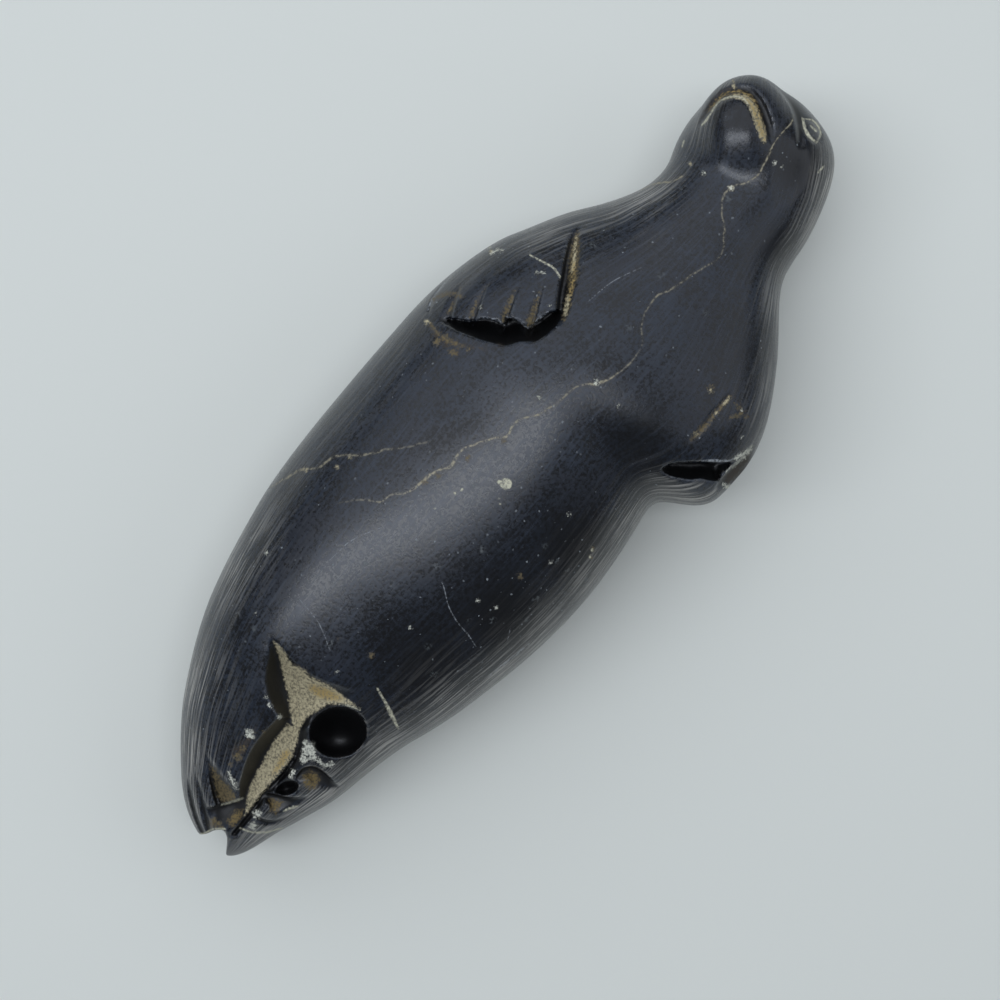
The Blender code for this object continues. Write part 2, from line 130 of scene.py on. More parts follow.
# The stone as it was roughed out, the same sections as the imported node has: x and y of the
# middle line, half the width, the lowest and the highest level, in millimetres.
roughStone = {
    "sections": {
        "tailTip": (-80.8, -4.4, 6.8, 7.5, 19.5),
        "flipperEnds": (-72.0, -0.2, 10.3, 5.5, 24.5),
        "ankles": (-60.0, 3.0, 16.2, 3.0, 31.0),
        "rump": (-45.0, 5.5, 21.7, 1.0, 37.5),
        "loin": (-27.0, 5.8, 26.1, 0.2, 41.5),
        "waist": (-5.0, 5.2, 28.1, 0.0, 43.5),
        "chest": (18.0, 6.0, 26.6, 0.4, 43.0),
        "shoulders": (35.0, 3.8, 24.2, 1.8, 40.2),
        "nape": (50.0, 2.8, 17.5, 4.2, 36.0),
        "neck": (61.0, 2.6, 13.5, 5.5, 33.0),
        "ears": (68.0, 2.8, 13.8, 5.8, 32.2),
        "crown": (73.8, 5.2, 14.3, 5.6, 32.2),
        "brow": (80.0, 9.6, 13.6, 6.2, 31.5),
        "forehead": (85.5, 13.6, 13.0, 7.5, 30.5),
    },
    "widestAt": 0.47,  # level of the greatest width, as a share of the height
    "squareness": 2.15,
    "tailRound": 12.0,
    "crownRound": 14.0,
    "rings": 260,
    "ringPoints": 150,
    # x, angle round the section, reach to the tail, to the head, down and up in angle, height
    "swells": {
        "nearFlipper": (23.0, 40.0, 10.0, 20.0, 34.0, 42.0, 1.6),
        "farFlipper": (32.2, 168.0, 8.8, 23.5, 38.0, 34.0, 9.6),
        "throat": (59.0, 80.0, 8.0, 9.0, 60.0, 60.0, 0.6),
    },
    "rollFrom": 50.0,
    "rollTo": 74.0,
    "restLevel": 0.69,  # the stone is rubbed flat below this
    "home": (-3.5045, -1.8805, -0.6898),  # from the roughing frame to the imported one
}

# The head turns to one side and rolls, and carries the muzzle and the chin: middle and radii
# forward, to its right, and towards the chin, in millimetres.
headForm = {
    "at": (73.6, 4.8, 19.0),
    "turn": 41.0,
    "roll": 18.0,
    "muzzle": ((4.8, 0.0, 5.8), (11.2, 8.8, 9.8)),
    "chin": ((3.6, 0.3, 8.0), (10.4, 7.3, 8.4)),
    "rubbedFrom": (56.0, 62.0),
    "rubs": 70,
}

# How finely the skin is meshed, in millimetres, how much it is rubbed, and how many triangles
# are left once the plain parts are thinned out.
stoneSkin = {
    "roughGrain": 0.55,
    "grain": 0.32,
    "openRubs": 10,
    "cutRubs": 2,
    "edgeRubs": 6,
    "triangles": 185000,
    "marksAbove": 0.006,  # metres over the table; nothing is marked below this
    "cutFrom": (0.02, 0.12),  # how squarely a face meets the camera, for cuts to reach it
    "dustedFrom": (-0.15, 0.0),
}

# Where the skin is pushed so that its outline is the one in the photograph: the place in
# pixels, how far to the picture's right and to its top, and the reach, in millimetres.
outlinePushes = {
    "cheek": (834, 158, 0.55, 0.0, 8.0),
    "farFlank": (779, 335, 0.75, 0.05, 14.0),
    "farTip": (742, 478, -0.45, 0.35, 7.0),
    "farLobe": (712, 503, -0.35, 0.75, 7.0),
    "nearShoulder": (572, 208, -0.2, 0.85, 6.0),
    "muzzle": (737, 76, 0.1, -0.4, 5.0),
    "hip": (180, 728, -0.5, 0.0, 8.0),
    "hindFlipper": (333, 800, 0.4, -0.55, 9.0),
}


# The mesh as one modifier leaves it. Plain holds the points it may change, if not all of them.
def modified(mesh, kind, settings, plain=None):
    holder = added("holder", mesh)
    if plain is not None:
        holder.vertex_groups.new(name="plain").add(plain.tolist(), 1.0, "REPLACE")
    modifier = holder.modifiers.new("change", kind)
    for name, value in settings.items():
        setattr(modifier, name, value)
    bpy.context.view_layer.update()
    made = bpy.data.meshes.new_from_object(holder.evaluated_get(bpy.context.evaluated_depsgraph_get()))
    bpy.data.objects.remove(holder)
    return made


def remeshed(mesh, size):
    return modified(mesh, "REMESH", {"mode": "VOXEL", "voxel_size": size * mm, "adaptivity": 0.0})


def pointsOf(mesh):
    points = np.empty(len(mesh.vertices) * 3)
    mesh.vertices.foreach_get("co", points)
    return points.reshape(-1, 3)


def setPoints(mesh, points):
    mesh.vertices.foreach_set("co", np.ascontiguousarray(points, np.float32).ravel())
    mesh.update()


def normalsOf(mesh):
    normals = np.empty(len(mesh.vertices) * 3)
    mesh.vertices.foreach_get("normal", normals)
    return normals.reshape(-1, 3)


def edgesOf(mesh):
    edges = np.empty(len(mesh.edges) * 2, int)
    mesh.edges.foreach_get("vertices", edges)
    return edges.reshape(-1, 2)


def neighbourMean(points, edges, counts):
    total = np.empty_like(points)
    for axis in range(points.shape[1]):
        column = points[:, axis]
        total[:, axis] = np.bincount(edges[:, 0], column[edges[:, 1]], len(points))
        total[:, axis] += np.bincount(edges[:, 1], column[edges[:, 0]], len(points))
    return total / counts[:, None]


def smoothed(points, edges, weights, passes):
    counts = np.bincount(edges.ravel(), minlength=len(points)).astype(float)
    for _ in range(passes):
        points = points + 0.5 * weights * (neighbourMean(points, edges, counts) - points)
    return points


def smoothStep(low, high, value):
    share = np.clip((value - low) / (high - low), 0.0, 1.0)
    return share * share * (3 - 2 * share)


def curveThrough(knots, values, at):
    slopes = np.gradient(values, knots)
    i = np.clip(np.searchsorted(knots, at) - 1, 0, len(knots) - 2)
    span = knots[i + 1] - knots[i]
    t = np.clip((at - knots[i]) / span, 0.0, 1.0)
    start = (2 * t**3 - 3 * t**2 + 1) * values[i] + (t**3 - 2 * t**2 + t) * span * slopes[i]
    return start + (3 * t**2 - 2 * t**3) * values[i + 1] + (t**3 - t**2) * span * slopes[i + 1]


def swelling(x, angles):
    total = np.zeros_like(angles)
    for atX, atAngle, toTail, toHead, lower, higher, height in roughStone["swells"].values():
        turn = (angles - atAngle + 180.0) % 360.0 - 180.0
        reach = np.where(turn < 0, lower, higher)
        total += height * np.exp(-((abs(x - atX) / (toTail if x < atX else toHead)) ** 3)
                                 - (turn / reach) ** 2)
    return total


def bodyRings():
    rows = np.array(list(roughStone["sections"].values()))
    knots = np.concatenate([[0.0], np.cumsum(np.hypot(np.diff(rows[:, 0]), np.diff(rows[:, 1])))])
    length = knots[-1]
    t = (np.arange(roughStone["rings"]) + 0.5) / roughStone["rings"]
    places = length * (0.45 * (0.5 - 0.5 * np.cos(np.pi * t)) + 0.55 * t)
    angles = np.arange(roughStone["ringPoints"]) * 360.0 / roughStone["ringPoints"]
    power = 2 / roughStone["squareness"]
    cosine, sine = np.cos(np.radians(angles)), np.sin(np.radians(angles))
    wide = np.sign(cosine) * np.abs(cosine) ** power
    tall = np.sign(sine) * np.abs(sine) ** power
    rings = []
    for place in places:
        x, y, half, low, high = (curveThrough(knots, column, place) for column in rows.T)
        before, after = max(place - 0.5, 0.0), min(place + 0.5, length)
        ahead = np.array([curveThrough(knots, rows[:, i], after) for i in (0, 1)])
        ahead -= np.array([curveThrough(knots, rows[:, i], before) for i in (0, 1)])
        ahead /= np.hypot(*ahead)
        side, up = np.array([-ahead[1], ahead[0], 0.0]), np.array([0.0, 0.0, 1.0])
        roll = np.radians(headForm["roll"]) * smoothStep(roughStone["rollFrom"], roughStone["rollTo"], x)
        across = side * np.cos(roll) - up * np.sin(roll)
        over = side * np.sin(roll) + up * np.cos(roll)
        level = low + roughStone["widestAt"] * (high - low)
        reach = np.where(sine > 0, high - level, level - low)
        offset = np.outer(wide * half, across) + np.outer(tall * reach, over)
        offset += offset / np.linalg.norm(offset, axis=1)[:, None] * swelling(x, angles)[:, None]
        share = 1.0
        for gap, rounding in ((place, roughStone["tailRound"]), (length - place, roughStone["crownRound"])):
            if gap < rounding:
                share *= math.sqrt(max(1.0 - (1.0 - gap / rounding) ** 2, 0.0))
        rings.append(np.array([x, y, level]) + offset * share)
    return np.array(rings)


def headFrame():
    turn = Matrix.Rotation(math.radians(headForm["turn"]), 4, "Z")
    roll = Matrix.Rotation(-math.radians(headForm["roll"]), 4, "X")
    return Matrix.Translation(headForm["at"]) @ turn @ roll


# A closed tube through rings that have the same number of points.
def tube(outlines):
    shape = bmesh.new()
    rings = [[shape.verts.new(point) for point in outline] for outline in outlines]
    for first, second in zip(rings, rings[1:]):
        for i in range(len(first)):
            j = (i + 1) % len(first)
            shape.faces.new((first[i], first[j], second[j], second[i]))
    shape.faces.new(rings[0])
    shape.faces.new(rings[-1])
    return shape


def meshFrom(shape, name):
    mesh = bpy.data.meshes.new(name)
    shape.to_mesh(mesh)
    shape.free()
    return mesh


def roughMesh():
    shape = tube(bodyRings())
    for lump in ("muzzle", "chin"):
        middle, radii = headForm[lump]
        made = bmesh.ops.create_uvsphere(shape, u_segments=64, v_segments=40, radius=1.0)
        placed = headFrame() @ Matrix.Translation(middle) @ Matrix.Diagonal((*radii, 1.0))
        bmesh.ops.transform(shape, matrix=placed, verts=made["verts"])
    bmesh.ops.recalc_face_normals(shape, faces=shape.faces)
    bmesh.ops.transform(shape, matrix=Matrix.Scale(mm, 4), verts=shape.verts)
    return meshFrom(shape, "rough")


# The skin before any cut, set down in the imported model's place.
def rubbedSkin():
    mesh = remeshed(roughMesh(), stoneSkin["roughGrain"])
    points, edges = pointsOf(mesh) / mm, edgesOf(mesh)
    points = smoothed(points, edges, 1.0, stoneSkin["openRubs"])
    weights = smoothStep(*headForm["rubbedFrom"], points[:, 0])
    points = smoothed(points, edges, weights[:, None], headForm["rubs"])
    points[:, 2] = np.maximum(points[:, 2], roughStone["restLevel"])
    points += np.array(roughStone["home"])
    right, top, _ = np.array(cameraAxes())
    seen = seenFrom(points * mm)
    for u, v, toRight, toTop, reach in outlinePushes.values():
        share = np.exp(-(((seen - (u, v)) ** 2).sum(axis=1) * (mmPerPixel / reach) ** 2))
        points += share[:, None] * (right * toRight + top * toTop)
    setPoints(mesh, points * mm)
    return mesh


# The cuts are placed where the photograph shows them: each row is a place on the cut's bottom
# line in pixels, then how far it opens to the left and right of its own direction, how deep it
# is and, where undercut, how far its bottom runs in under the left side, in millimetres.
mmPerPixel = 0.171  # on the upper side of the stone

deepCuts = {
    "mouth": [
        (699, 125, 0.4, 0.8, 0.3), (707, 113, 0.6, 0.9, 0.8), (714, 103.5, 0.7, 1, 1),
        (723, 95, 0.8, 1.2, 1.1), (735, 90.5, 0.9, 1.5, 1.2), (748, 91.5, 1, 2, 1.4),
        (758, 101, 1, 2.3, 1.5), (765, 115, 1, 2.3, 1.5), (769.5, 130, 0.9, 2.1, 1.2),
        (771.5, 144, 0.4, 0.6, 0.2),
    ],
    "philtrum": [(732, 78, 0.3, 0.3, 0.1), (734, 85, 0.5, 0.5, 0.5), (735, 92, 0.5, 0.5, 0.7)],
    "cheekCrease": [
        (768, 82, 0.6, 0.3, 0.1), (779, 89, 1.4, 0.5, 0.6), (788, 99, 2.2, 0.5, 1),
        (794.5, 110, 2.4, 0.6, 1.3), (798.5, 124, 2.2, 0.6, 1.2), (799.5, 138, 1.6, 0.6, 0.8),
        (797, 152, 1, 0.6, 0.2),
    ],
    "nearFront": [
        (578, 227, 0.2, 0.2, 0.1), (573, 238, 2, 0.6, 1.3), (569.5, 256, 2.4, 0.9, 2.1, -0.3),
        (566.5, 278, 2.2, 1.1, 2.5, -0.4), (563, 298, 1.8, 1.1, 2.6, -0.4), (561, 311, 1.6, 0.9, 2.4, -0.2),
        (560.5, 322, 0.8, 0.6, 0.8),
    ],
    "farBevel": [
        (716, 488, 0.3, 0.8, 0.3), (722, 480, 0.3, 2.2, 1.4), (731, 470, 0.3, 2.8, 2),
        (741, 460, 0.3, 2.6, 1.8), (750, 449, 0.3, 1.6, 0.8), (756, 441, 0.3, 0.4, 0.1),
    ],
    "tailFold": [
        (272, 640, 0.2, 0.3, 0.2), (276, 650, 1, 1.5, 1.8), (280, 661, 2, 2.6, 3.4),
        (284, 677, 4.2, 3.5, 4.6), (287.5, 694, 8.4, 3.4, 5), (290, 706, 11.6, 2.8, 5),
        (292.5, 719, 8, 2, 4.6), (294, 729, 3, 1, 3.4),
    ],
    "tailTrench": [
        (293, 712, 3, 1, 3.6), (286, 724, 5.5, 1.7, 4.6), (274, 741, 7, 2.3, 5), (265, 755, 7, 2.6, 5),
        (259.5, 766, 6.5, 2.6, 4.8), (253, 779, 5.5, 2.2, 4.4), (248.5, 790, 4.5, 1.8, 3.6),
        (246, 799, 3, 1.3, 2.6), (243, 808, 1.2, 0.8, 1.2),
    ],
    "tailValley": [
        (303, 726, 0.4, 0.5, 2.6), (298.5, 743, 0.5, 0.5, 4.4), (294.5, 758, 0.6, 0.5, 5),
        (287, 769, 0.8, 0.5, 5.4), (280, 778, 1, 0.6, 5.4), (271, 787, 1, 0.6, 5),
        (263, 795, 0.9, 0.6, 4.6), (257, 804, 0.9, 0.6, 4), (250, 814, 0.8, 0.6, 3.4),
        (243, 823, 0.7, 0.6, 2.8), (234, 834, 0.6, 0.6, 2.4),
    ],
    "leftWedge": [
        (206, 753, 0.3, 0.2, 0.1), (209.5, 770, 1.6, 0.4, 1.2), (212.5, 786, 3.2, 0.4, 2.2),
        (216, 800, 4.2, 0.4, 2.7), (219, 808, 3.4, 0.4, 1.6),
    ],
    "wedgeStep": [
        (215, 807, 0.3, 2.2, 1.4), (223, 807, 0.3, 4, 2.6, 0.4), (232, 804, 0.3, 4.6, 3.2, 0.5),
        (243, 800, 0.3, 4, 3, 0.2),
    ],
    "leftDigitOuter": [
        (187.5, 776, 0.3, 0.2, 0.1), (189.5, 790, 0.5, 0.35, 1), (192, 803, 0.5, 0.4, 1.5),
        (196, 818, 0.5, 0.4, 1.7), (204, 835, 0.5, 0.5, 1.8),
    ],
    "leftDigitInner": [
        (197, 775, 0.3, 0.2, 0.1), (200, 792, 0.5, 0.4, 0.9), (203.5, 808, 0.6, 0.4, 1.3),
        (206.5, 821, 0.6, 0.4, 1.6), (209, 834, 0.6, 0.4, 1.6),
    ],
    "rightDigitUpper": [
        (297, 777, 0.3, 1, 1.4), (305, 769.5, 0.35, 2.6, 2.4, 0.2), (313, 768.5, 0.35, 3.2, 2.8, 0.3),
        (322, 773, 0.35, 2.8, 2.4, 0.2), (332, 782, 0.35, 1.6, 1.2), (340, 788, 0.3, 0.5, 0.1),
    ],
    "rightDigitMiddle": [
        (262, 798, 0.3, 1, 2.2), (268, 795.5, 0.35, 2.4, 3.2, 0.2), (277, 797, 0.35, 2.8, 3.2, 0.3),
        (287, 799, 0.35, 1.9, 2, 0.2), (298, 799, 0.35, 1, 0.9), (309, 796, 0.3, 0.4, 0.1),
    ],
    "rightDigitLower": [
        (252, 815, 0.3, 0.5, 1.2), (261, 820, 0.4, 0.5, 1.5), (271, 822, 0.4, 0.5, 1.2),
        (281, 819, 0.4, 0.4, 0.6), (290, 814, 0.3, 0.3, 0.1),
    ],
}
# How each side of a cut falls, left and right: 1 is straight like a V, more is rounder with a
# steeper rim.
cutShapes = {
    "mouth": (1.6, 1.0), "farBevel": (2.0, 1.6),
    "tailTrench": (1.0, 1.5), "tailFold": (1.0, 1.4), "rightDigitUpper": (3.0, 1.2),
    "rightDigitMiddle": (3.0, 1.2), "wedgeStep": (3.0, 1.2),
}

# Hollows scooped out: middle in pixels, radii in millimetres, turn in degrees, depth, roundness.
hollows = {
    "tailPit": (338, 732, 4.9, 4.3, -8.0, 10.5, 0.45),
    "besideValley": (286, 788, 2.3, 1.3, -14.0, 5.0, 0.8),
    "underChin": (742, 162, 9.0, 8.0, 0.0, 0.2, 2.0),
    "cheekHollow": (789, 172, 3.4, 6.0, 12.0, 0.7, 1.6),
}

# Where the stone is cleared away in under a flipper: the outline in pixels, how deep, how far in
# from the outline the floor is reached, and how far it runs in to the right and to the top.
voids = {
    "nearFlipper": {
        "outline": [
            (430, 311), (442, 318.5), (456, 319), (470, 322), (484, 319), (497, 321.5), (503.5, 325),
            (507, 318), (513, 319), (521, 323), (528.5, 328.5), (538, 321), (549, 313.5), (560, 309),
            (562, 316), (557, 326), (547, 335), (536, 342), (520, 342), (505, 346.5), (480, 340),
            (457, 331), (440, 321),
        ],
        "depth": 6.4, "floorFrom": 2.2, "under": (0.2, 1.7),
    },
    "farFlipper": {
        "outline": [
            (660, 470), (668, 465), (678, 463), (690, 462), (706, 462.5), (722, 463), (734, 462.5),
            (728, 469), (721, 475), (720, 482), (710, 481), (700, 479), (690, 480), (680, 478.5),
            (669, 476),
        ],
        "depth": 5.2, "floorFrom": 1.7, "under": (0.0, 1.2),
    },
}

# Fine cuts, made after the deep ones.
fineCuts = {
    "nearDigit1": [(449.5, 318, 1.5, 0.3, 0.8), (455, 301, 1.4, 0.3, 0.6), (461, 285, 0.6, 0.2, 0.1)],
    "nearDigit2": [(473, 323, 1.5, 0.3, 1), (480, 303, 1.4, 0.3, 0.7), (488, 283, 0.6, 0.2, 0.1)],
    "nearDigit3": [(504.5, 327, 1.4, 0.3, 1.1), (511.5, 306, 1.3, 0.3, 0.8), (519, 286, 0.6, 0.2, 0.1)],
    "nearDigit4": [(532, 330, 1.6, 0.3, 1.1), (538, 306, 1.4, 0.3, 0.8), (544, 281, 0.6, 0.2, 0.1)],
    "nearEdge": [
        (428.5, 312, 0.3, 0.4, 0.5), (431.5, 301, 0.3, 0.4, 0.6), (438, 290, 0.3, 0.4, 0.5),
        (455, 271.5, 0.2, 0.3, 0.1),
    ],
    "farStreak": [
        (690, 442, 0.4, 0.3, 0.1), (703, 428, 0.7, 0.5, 0.4), (716, 411, 0.7, 0.5, 0.4),
        (730, 394, 0.4, 0.3, 0.1),
    ],
    "tailScratch": [
        (377, 688, 0.25, 0.25, 0.1), (383, 699, 0.3, 0.3, 0.3), (390, 713, 0.35, 0.35, 0.35),
        (398, 729, 0.25, 0.25, 0.1),
    ],
}

# The eye is a ring cut into the cheek: middle in pixels, half its length and width, its turn.
eyeRing = {"at": (812.0, 131.0), "half": (2.1, 1.15), "turn": 57.0, "width": 0.34, "depth": 0.40}

# The left hind flipper ends short of the right one: the outline of what is sawn off, in pixels.
tailNotch = [
    (186, 836), (206, 834), (215, 830), (224, 829.5), (227.5, 838), (226, 853), (222, 880), (186, 880),
]


# The point that a pixel shows at a level over the table.
def onLevel(u, v, level):
    right, up, back = cameraAxes()
    middle = photoCamera["picture"] / 2
    ray = (right * (u - middle) - up * (v - middle)) / focalPixels() - back
    return cameraPlace() + ray * (photoCamera["height"] - level)


def turned(points, degrees):
    turn = math.radians(degrees)
    x = points[:, 0] * math.cos(turn) + points[:, 1] * math.sin(turn)
    return np.stack([x, points[:, 1] * math.cos(turn) - points[:, 0] * math.sin(turn)], axis=1)


def nearBox(seen, corners, reach):
    low, high = np.min(corners, axis=0) - reach, np.max(corners, axis=0) + reach
    return np.flatnonzero(((seen > low) & (seen < high)).all(axis=1))


# How far each pixel place lies to the left of a path, in millimetres, and the path's own values
# beside it. Places further from the path's box than the reach are left out.
def alongPath(seen, rows, reach):
    rows = np.array(rows, float)
    knots = np.concatenate([[0.0], np.cumsum(np.hypot(*np.diff(rows[:, :2], axis=0).T))])
    fine = np.linspace(0.0, knots[-1], 5 * len(rows))
    path = np.stack([curveThrough(knots, column, fine) for column in rows.T], axis=1)
    near = nearBox(seen, path[:, :2], reach / mmPerPixel)
    start, step = path[:-1, :2], np.diff(path[:, :2], axis=0)
    offset = seen[near, None] - start[None]
    share = np.clip((offset * step).sum(axis=2) / (step**2).sum(axis=1), 0.0, 1.0)
    gap = offset - share[..., None] * step
    distance = np.hypot(gap[..., 0], gap[..., 1])
    best = distance.argmin(axis=1)
    pick = (np.arange(len(near)), best)
    cross = step[best, 0] * offset[pick][:, 1] - step[best, 1] * offset[pick][:, 0]
    side = -np.sign(cross) * distance[pick] * mmPerPixel
    mix = share[pick][:, None]
    values = path[best] * (1 - mix) + path[best + 1] * mix
    left = np.stack([step[best, 1], -step[best, 0]], axis=1) / np.hypot(*step[best].T)[:, None]
    return near, side, values, left


# Millimetres inside an outline given in pixels, negative outside it.
def insideBy(seen, outline):
    corners = np.array(outline, float)
    after = np.roll(corners, -1, axis=0)
    nearest = np.full(len(seen), np.inf)
    within = np.zeros(len(seen), bool)
    for (u, v), (nextU, nextV) in zip(corners, after):
        step = np.array([nextU - u, nextV - v])
        offset = seen - (u, v)
        share = np.clip(offset @ step / (step @ step), 0.0, 1.0)
        nearest = np.minimum(nearest, np.hypot(*(offset - share[:, None] * step).T))
        crosses = (seen[:, 1] < v) != (seen[:, 1] < nextV)
        at = u + (seen[:, 1] - v) / (nextV - v if nextV != v else 1.0) * (nextU - u)
        within ^= crosses & (seen[:, 0] < at)
    return np.where(within, nearest, -nearest) * mmPerPixel


def cutDepths(seen, facing, cuts):
    depth, lean = np.zeros(len(seen)), np.zeros((len(seen), 2))
    for name, rows in cuts.items():
        rows = [(*row, 0.0)[:6] for row in rows]
        near, side, values, left = alongPath(seen, rows, 1.0 + max(max(row[2:4]) for row in rows))
        across = np.clip(np.where(side > 0, side / values[:, 2], -side / values[:, 3]), 0.0, 1.0)
        onLeft, onRight = cutShapes.get(name, (1.0, 1.0))
        fall = 1.0 - np.where(side > 0, across**onLeft, across**onRight)
        found = values[:, 4] * fall * facing[near]
        deeper = found > depth[near]
        depth[near] = np.where(deeper, found, depth[near])
        moved = left * (values[:, 5] * fall * facing[near])[:, None]
        lean[near] = np.where(deeper[:, None], moved, lean[near])
    return depth, lean


def hollowDepths(seen, facing):
    depth = np.zeros(len(seen))
    for u, v, long, short, turn, deep, roundness in hollows.values():
        local = turned((seen - (u, v)) * mmPerPixel, turn) / (long, short)
        inside = np.clip(1.0 - (local**2).sum(axis=1), 0.0, 1.0) ** roundness
        depth = np.maximum(depth, deep * inside * facing)
    return depth


def voidDepths(seen, facing):
    depth, lean = np.zeros(len(seen)), np.zeros((len(seen), 2))
    for hole in voids.values():
        inside = np.clip(insideBy(seen, hole["outline"]) / hole["floorFrom"], 0.0, 1.0)
        fall = (1.0 - (1.0 - inside) ** 3) * facing
        depth = np.maximum(depth, hole["depth"] * fall)
        lean += np.outer(fall, (hole["under"][0], -hole["under"][1]))
    return depth, lean


def allCuts(seen):
    everywhere = np.ones(len(seen))
    depth = np.maximum(cutDepths(seen, everywhere, deepCuts)[0], cutDepths(seen, everywhere, fineCuts)[0])
    return np.maximum(depth, np.maximum(hollowDepths(seen, everywhere), voidDepths(seen, everywhere)[0]))


def fromEye(seen):
    local = turned((seen - eyeRing["at"]) * mmPerPixel, eyeRing["turn"])
    return (np.hypot(*(local / eyeRing["half"]).T) - 1.0) * eyeRing["half"][1]


def towardsCamera(mesh, low, high):
    points = pointsOf(mesh)
    view = np.array(cameraPlace()) - points
    view /= np.linalg.norm(view, axis=1)[:, None]
    return smoothStep(low, high, (normalsOf(mesh) * view).sum(axis=1))


# Moves each point down its own line of sight, so that a cut stays where the photograph has it.
def pressIn(mesh, depth, lean):
    points = pointsOf(mesh)
    right, up, _ = np.array(cameraAxes())
    sight = points - np.array(cameraPlace())
    sight /= np.linalg.norm(sight, axis=1)[:, None]
    points += sight * depth[:, None] * mm
    points += (np.outer(lean[:, 0], right) - np.outer(lean[:, 1], up)) * mm
    setPoints(mesh, points)


def sawOff(mesh, outline):
    shape = tube([[onLevel(u, v, level) for u, v in outline] for level in (-0.01, 0.06)])
    bmesh.ops.recalc_face_normals(shape, faces=shape.faces)
    cutter = added("saw", meshFrom(shape, "saw"))
    made = modified(mesh, "BOOLEAN", {"operation": "DIFFERENCE", "solver": "EXACT", "object": cutter})
    bpy.data.objects.remove(cutter)
    return made


noDust = -3.0  # millimetres inside an outline, so this is well outside
farAcross = 9.0  # half widths from a line's middle
lineReach = 2.0  # millimetres beside a line that are looked at
lineFades = (0.35, 0.6)  # millimetres from its middle
dustColours = ("brown", "ochre", "dim", "tan", "gold", "pale", "thin")

# Stone dust left in the cuts, by the colour it has taken: outlines in pixels, and strokes and
# dabs as places in pixels with half the width in millimetres.
dustAreas = {
    "tan": {
        "starFacet": [
            (273, 641), (279, 644), (285, 651), (293, 665), (305, 669), (309, 676), (324, 682), (335, 689),
            (348, 699), (361, 709), (350, 706), (342, 704.5), (327, 705), (318, 711), (307, 717),
            (300, 729), (294, 730), (291, 719), (287, 693), (283, 677), (279, 658),
        ],
        "trenchFloor": [
            (287, 724), (294, 726), (300, 729), (297, 743), (293, 755), (286, 766), (279, 775), (269, 786),
            (261, 796), (254, 805), (248, 813), (244, 817), (246, 806), (247, 796), (249, 789), (253, 778),
            (260, 766), (266, 754), (274, 740),
        ],
    },
    "brown": {
        "farBevel": [
            (721, 476), (728, 469), (735, 463), (752, 449), (750, 461), (742, 475), (733, 483), (727, 487),
        ],
    },
    "gold": {
        "starPatch": [
            (309, 683), (320, 685), (333, 690), (346, 699), (338, 702), (326, 701), (316, 697), (308, 690),
        ],
        "trenchPatch": [(281, 752), (288, 748), (293, 752), (286, 764), (276, 774), (270, 777)],
    },
    "dim": {
        "wedgeSlope": [
            (209, 763), (216, 768), (223, 779), (229, 785), (238, 797), (238, 802), (223, 804), (216, 797),
        ],
        "notchRim": [(209, 827), (209, 818), (215, 816), (222, 822), (225, 829), (214, 829)],
    },
    "ochre": {
        "hollowBlock": [
            (228, 828), (227, 818), (232, 811), (239, 808), (244, 808), (243, 816), (239, 824), (233, 829),
        ],
        "upperDigit": [(302, 774), (310, 769), (318, 772), (321, 780), (317, 790), (308, 791), (301, 784)],
        "middleDigit": [(267, 797), (277, 798), (284, 802), (281, 811), (276, 816), (269, 811)],
    },
}
